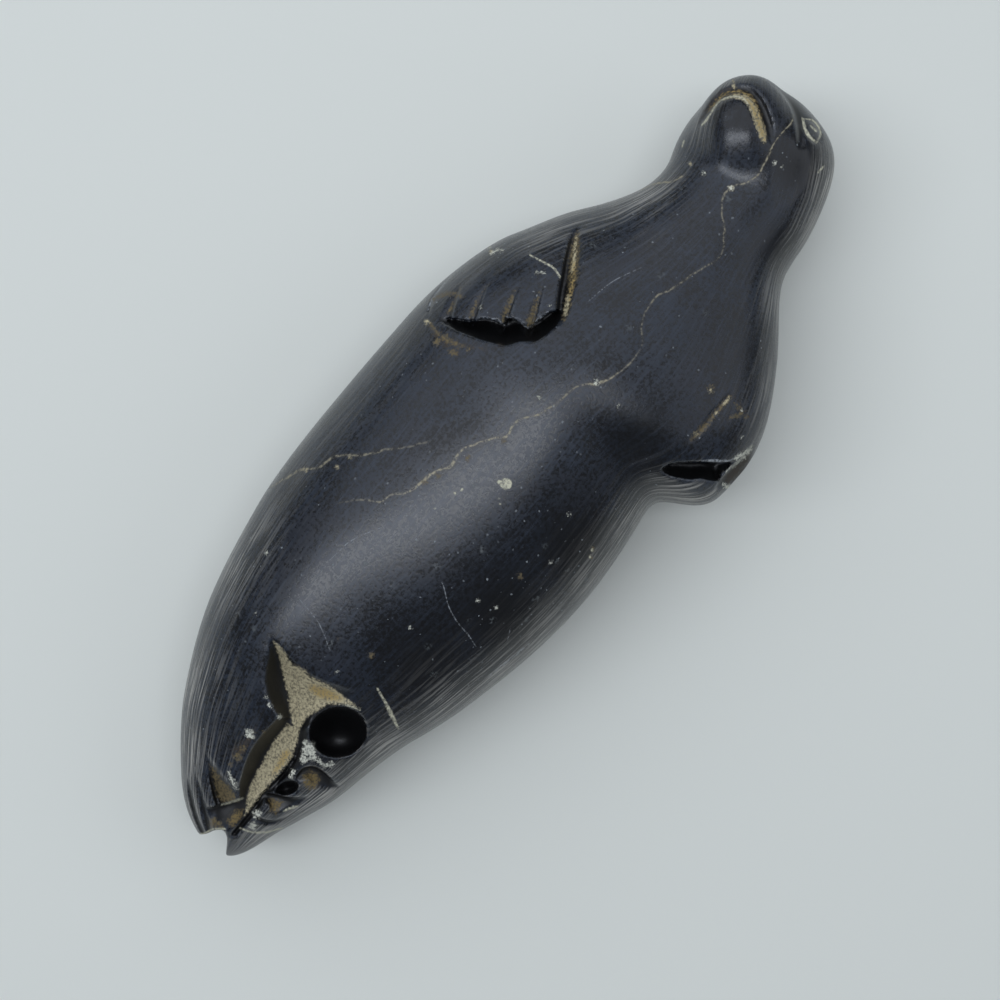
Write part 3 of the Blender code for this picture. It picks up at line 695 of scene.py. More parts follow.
dustStrokes = {
    "tan": {
        "mouth": [
            (722, 100, 0.1), (730, 97, 0.3), (738, 96.5, 0.5), (746, 98.5, 0.65), (752.5, 107, 0.75),
            (757.5, 119, 0.75), (762, 133, 0.7), (764.5, 141, 0.45),
        ],
        "philtrum": [(733, 81, 0.22), (734, 88, 0.3)],
        "frontTop": [(577, 236, 0.15), (575, 247, 0.3), (574, 262, 0.4), (572, 272, 0.3)],
        "frontEnd": [(569, 296, 0.35), (567, 304, 0.45), (565, 315, 0.3)],
        "farStreakTop": [(729, 398, 0.3), (724, 404, 0.3)],
    },
    "dim": {
        "nearDigit1": [(449, 312, 0.45), (455, 300, 0.3), (461, 287, 0.1)],
        "nearDigit2": [(471, 316, 0.5), (477, 302, 0.35), (485, 287, 0.1)],
        "nearDigit3": [(503, 319, 0.6), (508, 306, 0.6), (515, 291, 0.15)],
        "nearDigit4": [(530, 323, 0.8), (534, 309, 0.65), (541, 287, 0.15)],
        "nearFlank": [(431, 300, 0.3), (446, 294, 0.5), (462, 296, 0.4)],
        "farStreak": [(729, 397, 0.5), (721, 407, 0.6), (711, 418, 0.5), (703, 428, 0.75), (692, 438, 0.5)],
        "farOlive": [(735, 404, 0.3), (742, 412, 0.5), (731, 418, 0.4)],
        "nearFront": [
            (578, 232, 0.3), (576, 243, 0.8), (574, 258, 0.95), (573, 279, 0.9), (570, 291, 0.5),
            (567.5, 306, 0.7), (564, 319, 0.4),
        ],
        "underFlipper": [(428, 322, 0.4), (438, 333, 0.4), (449, 341, 0.6), (462, 346, 0.4)],
    },
    "gold": {
        "mouthGold": [
            (708, 112, 0.15), (716, 102, 0.25), (728, 93, 0.35), (741, 92, 0.4), (751, 98, 0.4),
            (757, 108, 0.35), (762, 123, 0.3), (765, 138, 0.25),
        ],
        "mouthWarm": [
            (744, 98, 0.3), (752.5, 107, 0.5), (757.5, 119, 0.55), (762, 133, 0.5), (764.5, 140, 0.3),
        ],
        "frontGold": [(574, 262, 0.3), (572, 285, 0.4), (569, 300, 0.3)],
    },
    "thin": {
        "eyeLower": [(802.5, 118, 0.15), (804.5, 127, 0.26), (809, 136, 0.26), (816, 142.5, 0.15)],
        "eyeUpper": [
            (804, 119, 0.1), (811, 119.5, 0.14), (818, 126, 0.16), (820.5, 134, 0.14), (817, 142, 0.1),
        ],
        "eyeDot": [(811, 126, 0.14), (816, 131, 0.22)],
        "mouthLeft": [
            (702, 125, 0.14), (706, 120.5, 0.18), (710, 114.5, 0.11), (714, 108, 0.11), (719, 102, 0.11),
            (727, 97.5, 0.13), (736, 96.5, 0.14), (744, 99, 0.13), (748, 104, 0.1),
        ],
        "nearScratch": [(530, 255, 0.1), (543, 262, 0.14), (553, 267.5, 0.15), (560, 277, 0.18)],
        "endRidge": [(240, 828, 0.1), (251, 832, 0.14), (267, 832, 0.14), (282, 828, 0.1)],
        "ledge": [(284, 811, 0.12), (291, 808, 0.22), (298, 806, 0.12)],
        "wedgeEnd": [(221, 805, 0.12), (232, 802, 0.16), (243, 798, 0.14)],
        "notchEdge": [(187, 835, 0.1), (205, 833, 0.14), (214, 829, 0.14), (226, 829, 0.12)],
        "tailScratch": [(377, 688, 0.12), (384, 700, 0.2), (391, 714, 0.34), (398, 728, 0.16)],
        "cheekDash": [(818, 173, 0.1), (821, 169, 0.16), (824, 166, 0.1)],
        "neckDash": [(682, 147, 0.08), (684, 141, 0.12)],
        "pitRim": [(338, 704, 0.1), (350, 706, 0.14), (360, 710, 0.1)],
    },
    "pale": {
        "ringEnd": [(318, 760, 0.3), (323, 765, 0.35), (331, 764.5, 0.45)],
        "farRim": [(735, 458.5, 0.25), (742, 455, 0.45), (747, 452, 0.45), (752, 447, 0.25)],
        "bevelEdge": [(722, 475, 0.1), (729, 469, 0.14), (737, 463, 0.2), (744, 457, 0.3)],
        "farChips": [(723, 484, 0.3), (727, 487, 0.4), (731, 486, 0.25)],
        "crumbs": [(228, 771, 0.1), (231, 778, 0.3), (235, 785, 0.35), (237, 789, 0.2)],
        "nearDashA": [(491, 254, 0.18), (498, 250, 0.22), (502, 251, 0.18)],
        "nearDashB": [(536, 272, 0.14), (545, 273, 0.16)],
    },
    "brown": {
        "mouthOuter": [(698, 125, 0.2), (706, 111, 0.4), (714, 100, 0.4), (724, 91, 0.4), (735, 87, 0.3)],
        "underFlipper": [(434, 333, 0.6), (447, 342, 0.7), (463, 345, 0.5), (486, 349, 0.4)],
        "wedgeRim": [(236, 752, 0.9), (246, 744, 0.9), (256, 730, 0.5)],
        "farRed": [(733, 394, 0.25), (750, 419, 0.4)],
        "starTop": [(296, 664, 0.3), (308, 672, 0.3)],
    },
}
dustDabs = {
    "tan": [
        (711, 391, 0.45), (690, 164, 0.4), (427, 322, 0.5), (491, 252, 0.4), (731, 188, 0.55),
        (696, 434, 0.4), (716, 413, 0.4), (337, 467, 0.35), (350, 457, 0.35), (306, 470, 0.4),
    ],
    "thin": [
        (506, 484, 1), (499, 482, 0.35), (455, 493, 0.24), (462, 490, 0.28), (499, 499, 0.2),
        (500, 504, 0.16), (435, 508, 0.2), (592, 550, 0.26), (590, 557, 0.22),
    ],
    "dim": [
        (243, 748, 0.6), (238, 757, 0.8), (231, 765, 0.5), (264, 733, 0.4), (746, 417, 0.4),
        (437, 342, 0.8), (453, 352, 0.8), (446, 336, 0.5), (468, 349, 0.5), (337, 467, 0.5),
        (593, 549, 0.5), (591, 557, 0.5), (468, 458, 0.6), (504, 441, 0.5), (438, 476, 0.5),
        (425, 482, 0.6), (711, 388, 0.7), (520, 576, 0.6), (371, 655, 0.6),
    ],
    "pale": [
        (309, 750, 1.15), (304, 759, 0.75), (312, 744, 0.45), (313, 757, 0.65), (306, 743, 0.5),
        (266, 698, 0.35), (270, 706, 0.4), (551, 562, 0.3), (569, 514, 0.28), (539, 398, 0.3),
        (619, 406, 0.28), (410, 628, 0.25), (478, 601, 0.28), (496, 607, 0.28), (337, 672, 0.3),
        (256, 613, 0.22), (249, 733, 0.75), (252, 736, 0.45), (291, 777, 0.35), (293, 772, 0.45),
        (280, 717, 0.4), (257, 814, 0.75), (253, 826, 0.65), (704, 173, 0.3), (775, 163, 0.25),
        (782, 167, 0.2), (267, 553, 0.3), (489, 247, 0.25), (597, 382, 0.5), (731, 188, 0.45),
        (742, 410, 0.18), (742, 437, 0.2), (481, 307, 0.22), (549, 305, 0.22),
    ],
    "brown": [
        (446, 343, 0.9), (455, 352, 0.9), (438, 340, 0.6), (520, 576, 0.6), (240, 751, 1), (371, 655, 0.7),
        (338, 640, 0.4), (500, 345, 0.4),
    ],
}

# Pale veins in the stone, scratches over it and painted highlight lines along some flipper
# rims: a place in pixels, half the width in millimetres and how strongly it shows.
veinLines = {
    "long": [
        (770, 152, 0.12, 0.9), (763, 165, 0.12, 0.9), (759, 174, 0.12, 0.8), (748, 182, 0.12, 0.7),
        (733, 187, 0.14, 0.8), (725, 193, 0.14, 0.8), (722, 209, 0.12, 0.5), (724, 229, 0.14, 0.6),
        (720, 256, 0.12, 0.3), (704, 267, 0.12, 0.5), (684, 280, 0.14, 0.6), (673, 288, 0.16, 0.5),
        (658, 295, 0.14, 0.6), (648, 308, 0.12, 0.4), (641, 327, 0.12, 0.4), (643, 343, 0.12, 0.3),
        (629, 364, 0.14, 0.5), (610, 378, 0.16, 0.8), (602, 382, 0.22, 1), (576, 387, 0.14, 0.5),
        (562, 398, 0.14, 0.6), (552, 406, 0.14, 0.6), (539, 415, 0.16, 0.8), (521, 419, 0.14, 0.7),
        (513, 425, 0.16, 0.7), (507, 435, 0.22, 0.9), (494, 438, 0.18, 0.9), (473, 446, 0.14, 0.8),
        (460, 451, 0.16, 0.8), (456, 458, 0.18, 0.8), (451, 466, 0.18, 0.9), (438, 471, 0.22, 0.9),
        (423, 480, 0.24, 0.9), (405, 493, 0.16, 0.7), (393, 494, 0.14, 0.6), (382, 501, 0.14, 0.6),
        (362, 500, 0.14, 0.4), (339, 503, 0.12, 0.2),
    ],
    "side": [
        (270, 487, 0.14, 0.3), (286, 479, 0.16, 0.6), (304, 469, 0.18, 0.6), (319, 468, 0.16, 0.5),
        (332, 457, 0.18, 0.6), (350, 455, 0.16, 0.5), (365, 455, 0.16, 0.6), (378, 451, 0.16, 0.5),
        (413, 446, 0.14, 0.3), (429, 442, 0.14, 0.2),
    ],
    "cheek": [
        (793, 116, 0.1, 0.8), (791, 123, 0.1, 0.9), (782, 133, 0.1, 0.8), (776, 140, 0.08, 0.6),
        (770, 150, 0.12, 0.9),
    ],
    "neck": [(640, 190, 0.12, 0.4), (655, 184, 0.14, 0.7), (670, 182, 0.14, 0.6), (682, 176, 0.14, 0.7)],
}
scratchAndHighlightLines = {
    "belly": [(443, 584, 0.08, 0.5), (451, 612, 0.09, 0.6), (471, 639, 0.09, 0.6), (475, 645, 0.08, 0.4)],
    "low": [(508, 638, 0.08, 0.4), (510, 630, 0.08, 0.4)],
    # farTip, digitTips and digitEdge are painted highlights along the flipper rims, not scratches.
    "farTip": [
        (703, 461, 0.14, 0.5), (712, 460.5, 0.2, 0.8), (724, 461, 0.2, 0.8), (735, 458.5, 0.16, 0.7),
    ],
    "digitTips": [(484, 318, 0.12, 0.5), (497, 320, 0.14, 0.5), (503, 324, 0.14, 0.6)],
    "digitEdge": [
        (507, 317, 0.12, 0.4), (519, 321, 0.12, 0.5), (528, 327, 0.16, 0.7), (538, 320, 0.16, 0.7),
        (548, 312, 0.14, 0.5),
    ],
    "flipperEdge": [
        (428, 309, 0.14, 0.7), (432, 300, 0.14, 0.6), (438, 291, 0.12, 0.5), (447, 280, 0.12, 0.3),
    ],
    "lowRim": [(488, 677, 0.12, 0.5), (508, 661, 0.16, 0.8), (529, 644, 0.12, 0.5)],
    "chest": [(590, 300, 0.06, 0.4), (612, 282, 0.07, 0.5), (640, 268, 0.06, 0.3)],
    "loin": [(330, 560, 0.06, 0.4), (352, 540, 0.07, 0.5), (380, 528, 0.06, 0.3)],
    "hip": [(300, 600, 0.06, 0.3), (318, 622, 0.07, 0.5), (330, 650, 0.06, 0.3)],
}

# Where specks gather, where the haze is left out so that the stone is painted darker, a painted
# shade on the parts turned from the light, and where the sides are brushed, in pixels: middle,
# reach, how much.
speckledAreas = [
    (525, 580, 85, 1), (560, 500, 60, 0.6), (400, 660, 60, 0.5), (300, 690, 70, 0.5),
]
paintedShadeAreas = [
    (505, 615, 75, 1), (575, 545, 55, 1), (430, 665, 65, 0.9), (345, 740, 50, 0.9), (798, 165, 38, 0.95),
    (778, 245, 35, 0.8), (741, 122, 26, 0.85), (640, 440, 45, 0.8), (650, 480, 40, 0.8),
    (740, 350, 40, 0.6),
]
brushedAreas = [
    (198, 690, 42, 1), (200, 760, 44, 1.3), (203, 810, 36, 1.2), (270, 835, 45, 1), (320, 805, 45, 1),
    (380, 755, 40, 0.9), (450, 700, 40, 0.7), (230, 560, 50, 0.7), (690, 497, 32, 1.3), (834, 180, 30, 1.1),
    (820, 232, 28, 0.9), (785, 300, 30, 0.5), (560, 225, 40, 0.5), (640, 195, 40, 0.8), (725, 78, 18, 0.2),
    (688, 122, 18, 0.4), (790, 92, 16, 0.3), (775, 400, 40, 0.4), (646, 532, 28, 1.1), (610, 590, 28, 1.1),
    (560, 645, 28, 1.1), (505, 685, 28, 1),
]


# The brushing: how much of it lies on all the sides and on level stone beside theirs, and how
# its streaks are stretched, along the stone and round it.
brushMarks = {"sides": 0.15, "level": 0.2, "along": 0.055, "round": 24.0}


def setAttribute(mesh, name, values):
    kind = "FLOAT_VECTOR" if values.ndim == 2 else "FLOAT"
    layer = mesh.attributes.new(name, kind, "POINT")
    layer.data.foreach_set("vector" if values.ndim == 2 else "value", values.astype(np.float32).ravel())


def dustField(seen, colour):
    field = np.full(len(seen), noDust)
    for outline in dustAreas.get(colour, {}).values():
        near = nearBox(seen, outline, 12)
        field[near] = np.maximum(field[near], insideBy(seen[near], outline))
    for rows in dustStrokes.get(colour, {}).values():
        near, side, values, _ = alongPath(seen, rows, lineReach)
        field[near] = np.maximum(field[near], values[:, 2] - np.abs(side))
    for u, v, radius in dustDabs.get(colour, []):
        away = np.hypot(*(seen - (u, v)).T) * mmPerPixel
        field = np.maximum(field, radius - away)
    return field


def lineField(seen, lines):
    across, strength = np.full(len(seen), farAcross), np.zeros(len(seen))
    for rows in lines.values():
        near, side, values, _ = alongPath(seen, rows, lineReach)
        shows = values[:, 3] * (1.0 - smoothStep(*lineFades, np.abs(side)))
        closer = np.abs(side / values[:, 2]) < np.abs(across[near])
        across[near] = np.where(closer, side / values[:, 2], across[near])
        strength[near] = np.where(closer, shows, strength[near])
    return across, strength


# True for the points that carry something small: a cut, dust, a vein, a scratch, a painted highlight line
# or the eye.
def keptFine(mesh):
    points, edges, seen = pointsOf(mesh), edgesOf(mesh), seenFrom(pointsOf(mesh))
    fine = (allCuts(seen) > 0.03) | (np.abs(fromEye(seen)) < 0.6)
    for colour in dustColours:
        fine |= dustField(seen, colour) > -0.5
    for lines in (veinLines, scratchAndHighlightLines):
        for rows in lines.values():
            near, side, _, _ = alongPath(seen, rows, lineReach)
            fine[near] |= np.abs(side) < 0.7
    fine &= points[:, 2] > stoneSkin["marksAbove"]
    for _ in range(2):
        fine[edges[fine[edges].any(axis=1)].ravel()] = True
    return fine


def thinnedOut(mesh, triangles):
    fine = keptFine(mesh)
    ratio = triangles / (2 * len(mesh.polygons))
    made = modified(mesh, "DECIMATE", {"ratio": ratio, "vertex_group": "plain"}, np.flatnonzero(~fine))
    print("kept fine:", int(fine.sum()), "of", len(fine), "points; thinned to", len(made.polygons), "faces")
    return made


def carvedStone():
    mesh = sawOff(rubbedSkin(), tailNotch)
    mesh = remeshed(mesh, stoneSkin["grain"])
    seen, facing = seenFrom(pointsOf(mesh)), towardsCamera(mesh, *stoneSkin["cutFrom"])
    depth, lean = cutDepths(seen, facing, deepCuts)
    scooped = hollowDepths(seen, facing)
    lean[scooped > depth] = 0.0
    depth = np.maximum(depth, scooped)
    cleared, under = voidDepths(seen, facing)
    lean = np.where((cleared > depth)[:, None], under, lean)
    pressIn(mesh, np.maximum(depth, cleared), lean)
    mesh = remeshed(mesh, stoneSkin["grain"])
    points, edges = pointsOf(mesh), edgesOf(mesh)
    setPoints(mesh, smoothed(points, edges, 1.0, stoneSkin["cutRubs"]))
    seen, facing = seenFrom(pointsOf(mesh)), towardsCamera(mesh, *stoneSkin["cutFrom"])
    depth, lean = cutDepths(seen, facing, fineCuts)
    ring = eyeRing["depth"] * np.clip(1.0 - np.abs(fromEye(seen)) / eyeRing["width"], 0.0, 1.0) * facing
    pressIn(mesh, depth + ring, lean)
    print("stone carved:", len(mesh.polygons), "faces")
    return thinnedOut(mesh, stoneSkin["triangles"])


def gathered(seen, areas):
    total = np.zeros(len(seen))
    for u, v, reach, much in areas:
        total = np.maximum(total, much * np.exp(-((seen - (u, v)) ** 2).sum(axis=1) / reach**2))
    return total


# What the stone's colour needs to know at each point: dust on the faces that the photograph
# shows, veins, scratches and painted highlight lines, how deep in a cut it lies for the painted
# shade there, how sharp an edge it is on for rubbed wear and painted highlight, where the haze
# is left out as painted shade, and which way the brushing runs.
def recordSurface(mesh):
    points, edges = pointsOf(mesh), edgesOf(mesh)
    normals, seen = normalsOf(mesh), seenFrom(points)
    onTop = points[:, 2] > stoneSkin["marksAbove"]
    dusted = onTop & (towardsCamera(mesh, *stoneSkin["dustedFrom"]) > 0.0)
    for colour in dustColours:
        setAttribute(mesh, colour + "Dust", np.where(dusted, dustField(seen, colour), noDust))
    for name, lines in (("vein", veinLines), ("scratch", scratchAndHighlightLines)):
        across, strength = lineField(seen, lines)
        setAttribute(mesh, name + "Across", np.clip(across, -farAcross, farAcross))
        setAttribute(mesh, name + "Shows", np.where(onTop & (normals[:, 2] > 0.1), strength, 0.0))
    depth = allCuts(seen)
    setAttribute(mesh, "cutDepth", np.where(onTop, depth, 0.0))
    rubbed = smoothed(points, edges, 1.0, stoneSkin["edgeRubs"])
    sharpness = ((points - rubbed) * normals).sum(axis=1) / mm
    setAttribute(mesh, "sharpness", sharpness)
    side = (1.0 - smoothStep(0.45, 0.97, normals[:, 2])) * (1.0 - smoothStep(0.1, 0.6, depth))
    level = (1.0 - smoothStep(0.1, 0.6, depth)) * (points[:, 2] > 0.004)
    strong = np.maximum(side, brushMarks["level"] * level) * gathered(seen, brushedAreas)
    setAttribute(mesh, "brushed", brushMarks["sides"] * side + strong)
    # The haze is kept out of the painted shade areas, so the stone is painted darker there.
    setAttribute(mesh, "clouded", 1.0 - gathered(seen, paintedShadeAreas))
    setAttribute(mesh, "speckled", gathered(seen, speckledAreas))
    rows = np.array(list(roughStone["sections"].values()))
    home = np.array(roughStone["home"])
    x = points[:, 0] / mm - home[0]
    middle = np.interp(x, rows[:, 0], rows[:, 1]) + home[1]
    half = np.interp(x, rows[:, 0], rows[:, 2])
    low, high = (np.interp(x, rows[:, 0], rows[:, i]) + home[2] for i in (3, 4))
    over = (points[:, 2] / mm - (low + high) / 2) / (high - low) * 2
    angle = np.arctan2(over, (points[:, 1] / mm - middle) / half)
    around = brushMarks["round"] * np.stack([np.cos(angle), np.sin(angle)], axis=1)
    setAttribute(mesh, "brushWay", np.column_stack([x * brushMarks["along"], around]))


# Near-black soapstone, carved and rubbed to a satin. Each finish lies over the ones before it:
# colour, roughness.
stoneFinish = {
    "body": ("040508", 0.22),
    "haze": ("1d2531", 0.34),
    "warmHaze": ("1e2027", 0.34),
    "polishMark": ("2c3441", 0.32),
    # Cut floors: near black, a painted shade deep in the cuts, and duller than the polish.
    "cutFloor": ("010102", 0.45),
    "bloom": ("4c5152", 0.50),
    # Edges: painted paler, partly rubbed wear and partly painted highlight along the rims.
    "rubbedEdge": ("3f444b", 0.40),
    "brushing": ("b0ada6", 0.50),
    "speck": ("7c8286", 0.60),
    "veinHalo": ("3b3525", 0.50),
    "vein": ("a39b82", 0.60),
    # Scratches, and the painted highlight lines along the flipper rims.
    "scratch": ("a9aeb2", 0.60),
    "brownDust": ("392f24", 0.80),
    "ochreDust": ("74633c", 0.86),
    "dimDust": ("6a5d40", 0.84),
    "tanDust": ("bdb291", 0.88),
    "goldDust": ("ab935c", 0.88),
    "paleDust": ("d3d3c4", 0.88),
    "thinDust": ("c9c6ae", 0.80),
}
# How far apart the marks of each pattern lie, how large a speck is and how high the relief
# stands, in millimetres.
stoneTexture = {
    "hazePatch": 7.0,  # the size of one cloudy stroke of the polishing cloth
    "mottle": 0.6,
    "speckGap": 0.95,
    "speckSize": 0.20,
    "bloomGap": 3.6,
    "streakGap": 0.28,  # real brushing is finer; this is as fine as the render shows
    "polishGap": 0.22,
    "dustGrain": 0.28,
    "grainRelief": 0.03,
    "dustRelief": 0.12,
    "streakRelief": 0.03,
}


def soapstone():
    material, shader = newMaterial("handRubbedBlackSoapstone")
    tree = material.node_tree
    node = partial(addNode, tree)
    texture = stoneTexture
    smooth = {"interpolation_type": "SMOOTHSTEP"}
    kinds = ("ADD", "SUBTRACT", "MULTIPLY", "MULTIPLY_ADD", "GREATER_THAN", "LESS_THAN", "SCALE")
    add, subtract, multiply, multiplyAdd, greater, less, scaled = ({"operation": name} for name in kinds)
    recorded = {}
    for name in (
        "clouded", "cutDepth", "sharpness", "brushed", "speckled", "veinAcross", "veinShows",
        "scratchAcross", "scratchShows", *(colour + "Dust" for colour in dustColours),
    ):
        recorded[name] = node("Attribute", {"attribute_name": name}).outputs["Fac"]
    way = node("Attribute", {"attribute_name": "brushWay"}).outputs["Vector"]
    place = node("TexCoord").outputs["Object"]
    inMm = node("VectorMath", scaled, {0: place, "Scale": 1000.0})

    # The noises: where they are looked up, how fine they are, and their detail and roughness.
    noise = {}
    for name, at, scale, detail, roughness in (
        ("patches", inMm, 1 / texture["hazePatch"], 4.0, 0.6),
        ("tints", inMm, 0.6 / texture["hazePatch"], 3.0, 0.5),
        ("mottle", inMm, 1 / texture["mottle"], 4.0, 0.65),
        ("polish", way, 0.5 / texture["polishGap"], 2.0, 0.6),
        ("streaks", way, 0.5 / texture["streakGap"], 3.0, 0.65),
        ("grains", inMm, 0.6 / texture["dustGrain"], 4.0, 0.75),
        ("bends", inMm, 0.45, 2.0, 0.5),
    ):
        settings = {"Vector": at, "Scale": scale, "Detail": detail, "Roughness": roughness}
        noise[name] = node("TexNoise", None, settings).outputs["Fac"]
    mottle, grains = noise["mottle"], noise["grains"]

    # Haze: the polish is cloudy in patches, with a fine mottle like leather in it, and the last
    # rubbing left short fine marks from nose to tail.
    cloudy = node("Math", multiplyAdd, {0: mottle, 1: 2.4, 2: noise["patches"]})
    haze = node("MapRange", smooth, {0: cloudy, 1: 1.35, 2: 2.05})
    # Where the haze is left out the stone is painted darker: painted shade on the parts turned from the
    # light.
    haze = node("Math", multiply, {0: haze, 1: recorded["clouded"]})
    warm = node("MapRange", smooth, {0: noise["tints"], 1: 0.5, 2: 0.64, 4: 0.7})
    warmHaze = node("Math", multiply, {0: haze, 1: warm})
    polishMark = node("MapRange", smooth, {0: noise["polish"], 1: 0.48, 2: 0.72, 4: 0.6})
    polishMark = node("Math", multiply, {0: polishMark, 1: recorded["clouded"]})

    # Cuts are painted near black by their depth, a painted shade in the recesses, and their floors are
    # left dull; edges are painted paler, partly rubbed wear where hands reach them and partly painted
    # highlight along the rims.
    cutFloor = node("MapRange", smooth, {0: recorded["cutDepth"], 1: 0.25, 2: 1.3})
    wornAndLitEdge = node("MapRange", smooth, {0: recorded["sharpness"], 1: 0.035, 2: 0.12})
    patchy = node("MapRange", None, {0: mottle, 1: 0.38, 2: 0.62, 3: 0.05, 4: 0.8})
    rubbedEdge = node("Math", multiply, {0: wornAndLitEdge, 1: patchy})

    # Brushing runs from nose to tail round the sides, left by the last coarse cloth.
    streak = node("MapRange", smooth, {0: noise["streaks"], 1: 0.44, 2: 0.66, 4: 0.9})
    clamped = {"operation": "MULTIPLY", "use_clamp": True}
    brushing = node("Math", clamped, {0: recorded["brushed"], 1: streak})

    # Grains of a paler mineral, single specks and soft blooms, thicker in some places. Their
    # outlines are ragged because the place they are looked up at is shaken a little.
    shaken = node("VectorMath", scaled, {0: mottle.node.outputs["Color"], "Scale": 0.55})
    ragged = node("VectorMath", add, {0: inMm, 1: shaken})
    specks = node("TexVoronoi", None, {"Vector": ragged, "Scale": 1 / texture["speckGap"]})
    draw = node("SeparateColor", None, {0: specks.outputs["Color"]})
    limit = node("Math", multiplyAdd, {0: recorded["speckled"], 1: -0.40, 2: 0.80})
    chosen = node("Math", greater, {0: draw, 1: limit})
    reach = texture["speckSize"] / texture["speckGap"]
    size = node("Math", multiply, {0: draw.outputs[1], 1: reach})
    dot = node("Math", less, {0: specks.outputs["Distance"], 1: size})
    shown = node("Math", multiply, {0: chosen, 1: dot})
    speck = node("Math", multiply, {0: shown, 1: draw.outputs[2]})
    blooms = node("TexVoronoi", None, {"Vector": ragged, "Scale": 1 / texture["bloomGap"]})
    bloomDraw = node("SeparateColor", None, {0: blooms.outputs["Color"]})
    bloomLimit = node("Math", multiplyAdd, {0: recorded["speckled"], 1: -0.45, 2: 0.92})
    bloomed = node("Math", greater, {0: bloomDraw, 1: bloomLimit})
    bloomRound = node("MapRange", smooth, {0: blooms.outputs["Distance"], 1: 0.08, 2: 0.27, 3: 1.0, 4: 0.0})
    bloomSpots = node("MapRange", smooth, {0: mottle, 1: 0.45, 2: 0.62})
    bloom = node("Math", multiply, {0: bloomRound, 1: bloomSpots})
    bloom = node("Math", multiply, {0: bloom, 1: bloomed})
    layers = {
        "haze": haze, "warmHaze": warmHaze, "polishMark": polishMark, "bloom": bloom,
        "speck": speck, "brushing": brushing, "cutFloor": cutFloor, "rubbedEdge": rubbedEdge,
    }

    # Veins, scratches and the painted highlight lines wander a little and are broken along their length.
    bend = node("Math", subtract, {0: noise["bends"], 1: 0.5})
    broken = node("MapRange", smooth, {0: mottle, 1: 0.42, 2: 0.60, 3: 0.06})
    for name, line, wander, near, far, strength in (
        ("veinHalo", "vein", 5.0, 0.8, 5.0, 0.6), ("vein", "vein", 5.0, 0.5, 1.6, 1.0),
        ("scratch", "scratch", 2.0, 0.5, 1.6, 1.0),
    ):
        bent = node("Math", multiplyAdd, {0: bend, 1: wander, 2: recorded[line + "Across"]})
        away = node("Math", {"operation": "ABSOLUTE"}, {0: bent})
        thin = node("MapRange", smooth, {0: away, 1: near, 2: far, 3: strength, 4: 0.0})
        drawn = node("Math", multiply, {0: thin, 1: recorded[line + "Shows"]})
        layers[name] = node("Math", multiply, {0: drawn, 1: broken})

    # Dust lies with a crumbly edge and lets dark grains through: how crumbly, how slowly it fades.
    crumbs = node("Math", subtract, {0: grains, 1: 0.5})
    through = node("MapRange", smooth, {0: grains, 1: 0.38, 2: 0.58, 3: 0.3})
    dusts = {}
    for name, crumble, fade in (
        ("brownDust", 3.2, 0.9), ("ochreDust", 2.6, 1.0), ("dimDust", 2.4, 0.7), ("tanDust", 1.5, 0.35),
        ("goldDust", 2.6, 0.8), ("paleDust", 2.4, 0.3), ("thinDust", 0.5, 0.14),
    ):
        crumbly = node("Math", multiplyAdd, {0: crumbs, 1: crumble, 2: recorded[name]})
        dusts[name] = node("MapRange", smooth, {0: crumbly, 1: -0.12, 2: fade})
        layers[name] = node("Math", multiply, {0: dusts[name], 1: through})

    colour, roughness = linear(stoneFinish["body"][0]), stoneFinish["body"][1]
    for name, cover in layers.items():
        over, dullness = stoneFinish[name]
        colour = node("Mix", {"data_type": "RGBA"}, {0: cover, 6: colour, 7: linear(over)}).outputs[2]
        roughness = node("Mix", None, {0: cover, 2: roughness, 3: dullness})
    tree.links.new(colour, shader.inputs["Base Color"])
    tree.links.new(roughness.outputs[0], shader.inputs["Roughness"])
    shader.inputs["IOR"].default_value = 1.54

    # Relief finer than the mesh: the grain of the stone, crumbled dust and the brushing.
    dusty = node("Math", {"operation": "MAXIMUM"}, {0: dusts["tanDust"], 1: dusts["paleDust"]})
    dustRise = node("Math", multiply, {0: dusty, 1: grains})
    relief = node("Math", multiply, {0: mottle, 1: texture["grainRelief"]})
    relief = node("Math", multiplyAdd, {0: dustRise, 1: texture["dustRelief"], 2: relief})
    streaked = node("Math", multiply, {0: noise["streaks"], 1: recorded["brushed"]})
    relief = node("Math", multiplyAdd, {0: streaked, 1: texture["streakRelief"], 2: relief})
    bump = node("Bump", None, {"Strength": 1.0, "Distance": mm, "Height": relief})
    tree.links.new(bump.outputs[0], shader.inputs["Normal"])
    return material


# Pale painted board: a plain floor that throws soft light back at the stone.
studioFloor = {"size": 3.0, "colour": "dfe1d9", "roughness": 0.6}


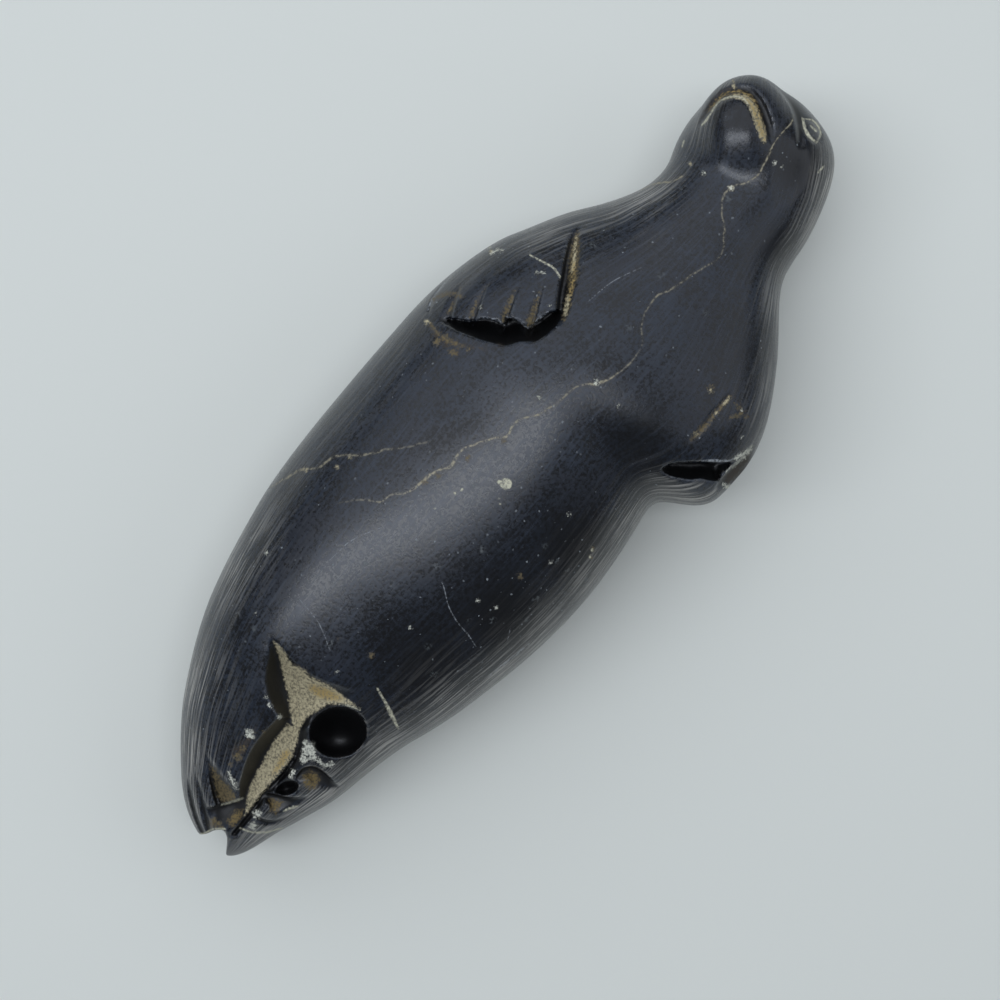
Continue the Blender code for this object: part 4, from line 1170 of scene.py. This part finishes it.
def makeFloor():
    half = studioFloor["size"] / 2
    mesh = bpy.data.meshes.new("floor")
    mesh.from_pydata(
        [(-half, -half, 0), (half, -half, 0), (half, half, 0), (-half, half, 0)], [], [(0, 1, 2, 3)]
    )
    floor = added("floor", mesh)
    material, shader = newMaterial("palePaintedTable")
    shader.inputs["Base Color"].default_value = linear(studioFloor["colour"])
    shader.inputs["Roughness"].default_value = studioFloor["roughness"]
    mesh.materials.append(material)


# Soft boxes round the table, placed in the picture's own directions: to its right, to its top
# and up, in metres. Each one faces the stone; the size is across the picture and along it.
studioLight = {
    "overhead": {"at": (-0.30, -0.03, 1.20), "size": (1.70, 0.34), "power": 8.8},
    "topSide": {"at": (-0.10, 0.48, 0.57), "size": (1.44, 0.75), "power": 2.8},
    "rightSide": {"at": (1.10, 0.10, 0.80), "size": (0.90, 0.90), "power": 1.8},
}
lampColour = "eff5ff"
roomGlow = {"strength": 0.20, "colour": "e8f0fc"}


def makeLights():
    across, along, up = cameraAxes()
    for name, box in studioLight.items():
        data = bpy.data.lights.new(name, "AREA")
        data.shape = "RECTANGLE"
        data.size, data.size_y = box["size"]
        data.energy = box["power"]
        data.color = linear(lampColour)[:3]
        lamp = added(name, data)
        right, top, high = box["at"]
        at = across * right + along * top + up * high
        facing = at.normalized()
        level = (across - facing * across.dot(facing)).normalized()
        turn = Matrix((level, facing.cross(level), facing)).transposed().to_4x4()
        lamp.matrix_world = Matrix.Translation(at) @ turn
    world = bpy.data.worlds.new("room")
    bpy.context.scene.world = world
    world.use_nodes = True
    background = world.node_tree.nodes["Background"]
    background.inputs["Color"].default_value = linear(roomGlow["colour"])
    background.inputs["Strength"].default_value = roomGlow["strength"]


makeCamera()
makeFloor()
makeLights()
bpy.context.scene.view_settings.view_transform = "Standard"
print("camera, floor and lights made")

stoneMesh = carvedStone()
recordSurface(stoneMesh)
stone = added("carvedStone", stoneMesh)
stoneMesh.shade_smooth()
stoneMesh.materials.append(soapstone())
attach(stone, "root")
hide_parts("carved_seal")
print("stone made:", len(stoneMesh.polygons), "faces")
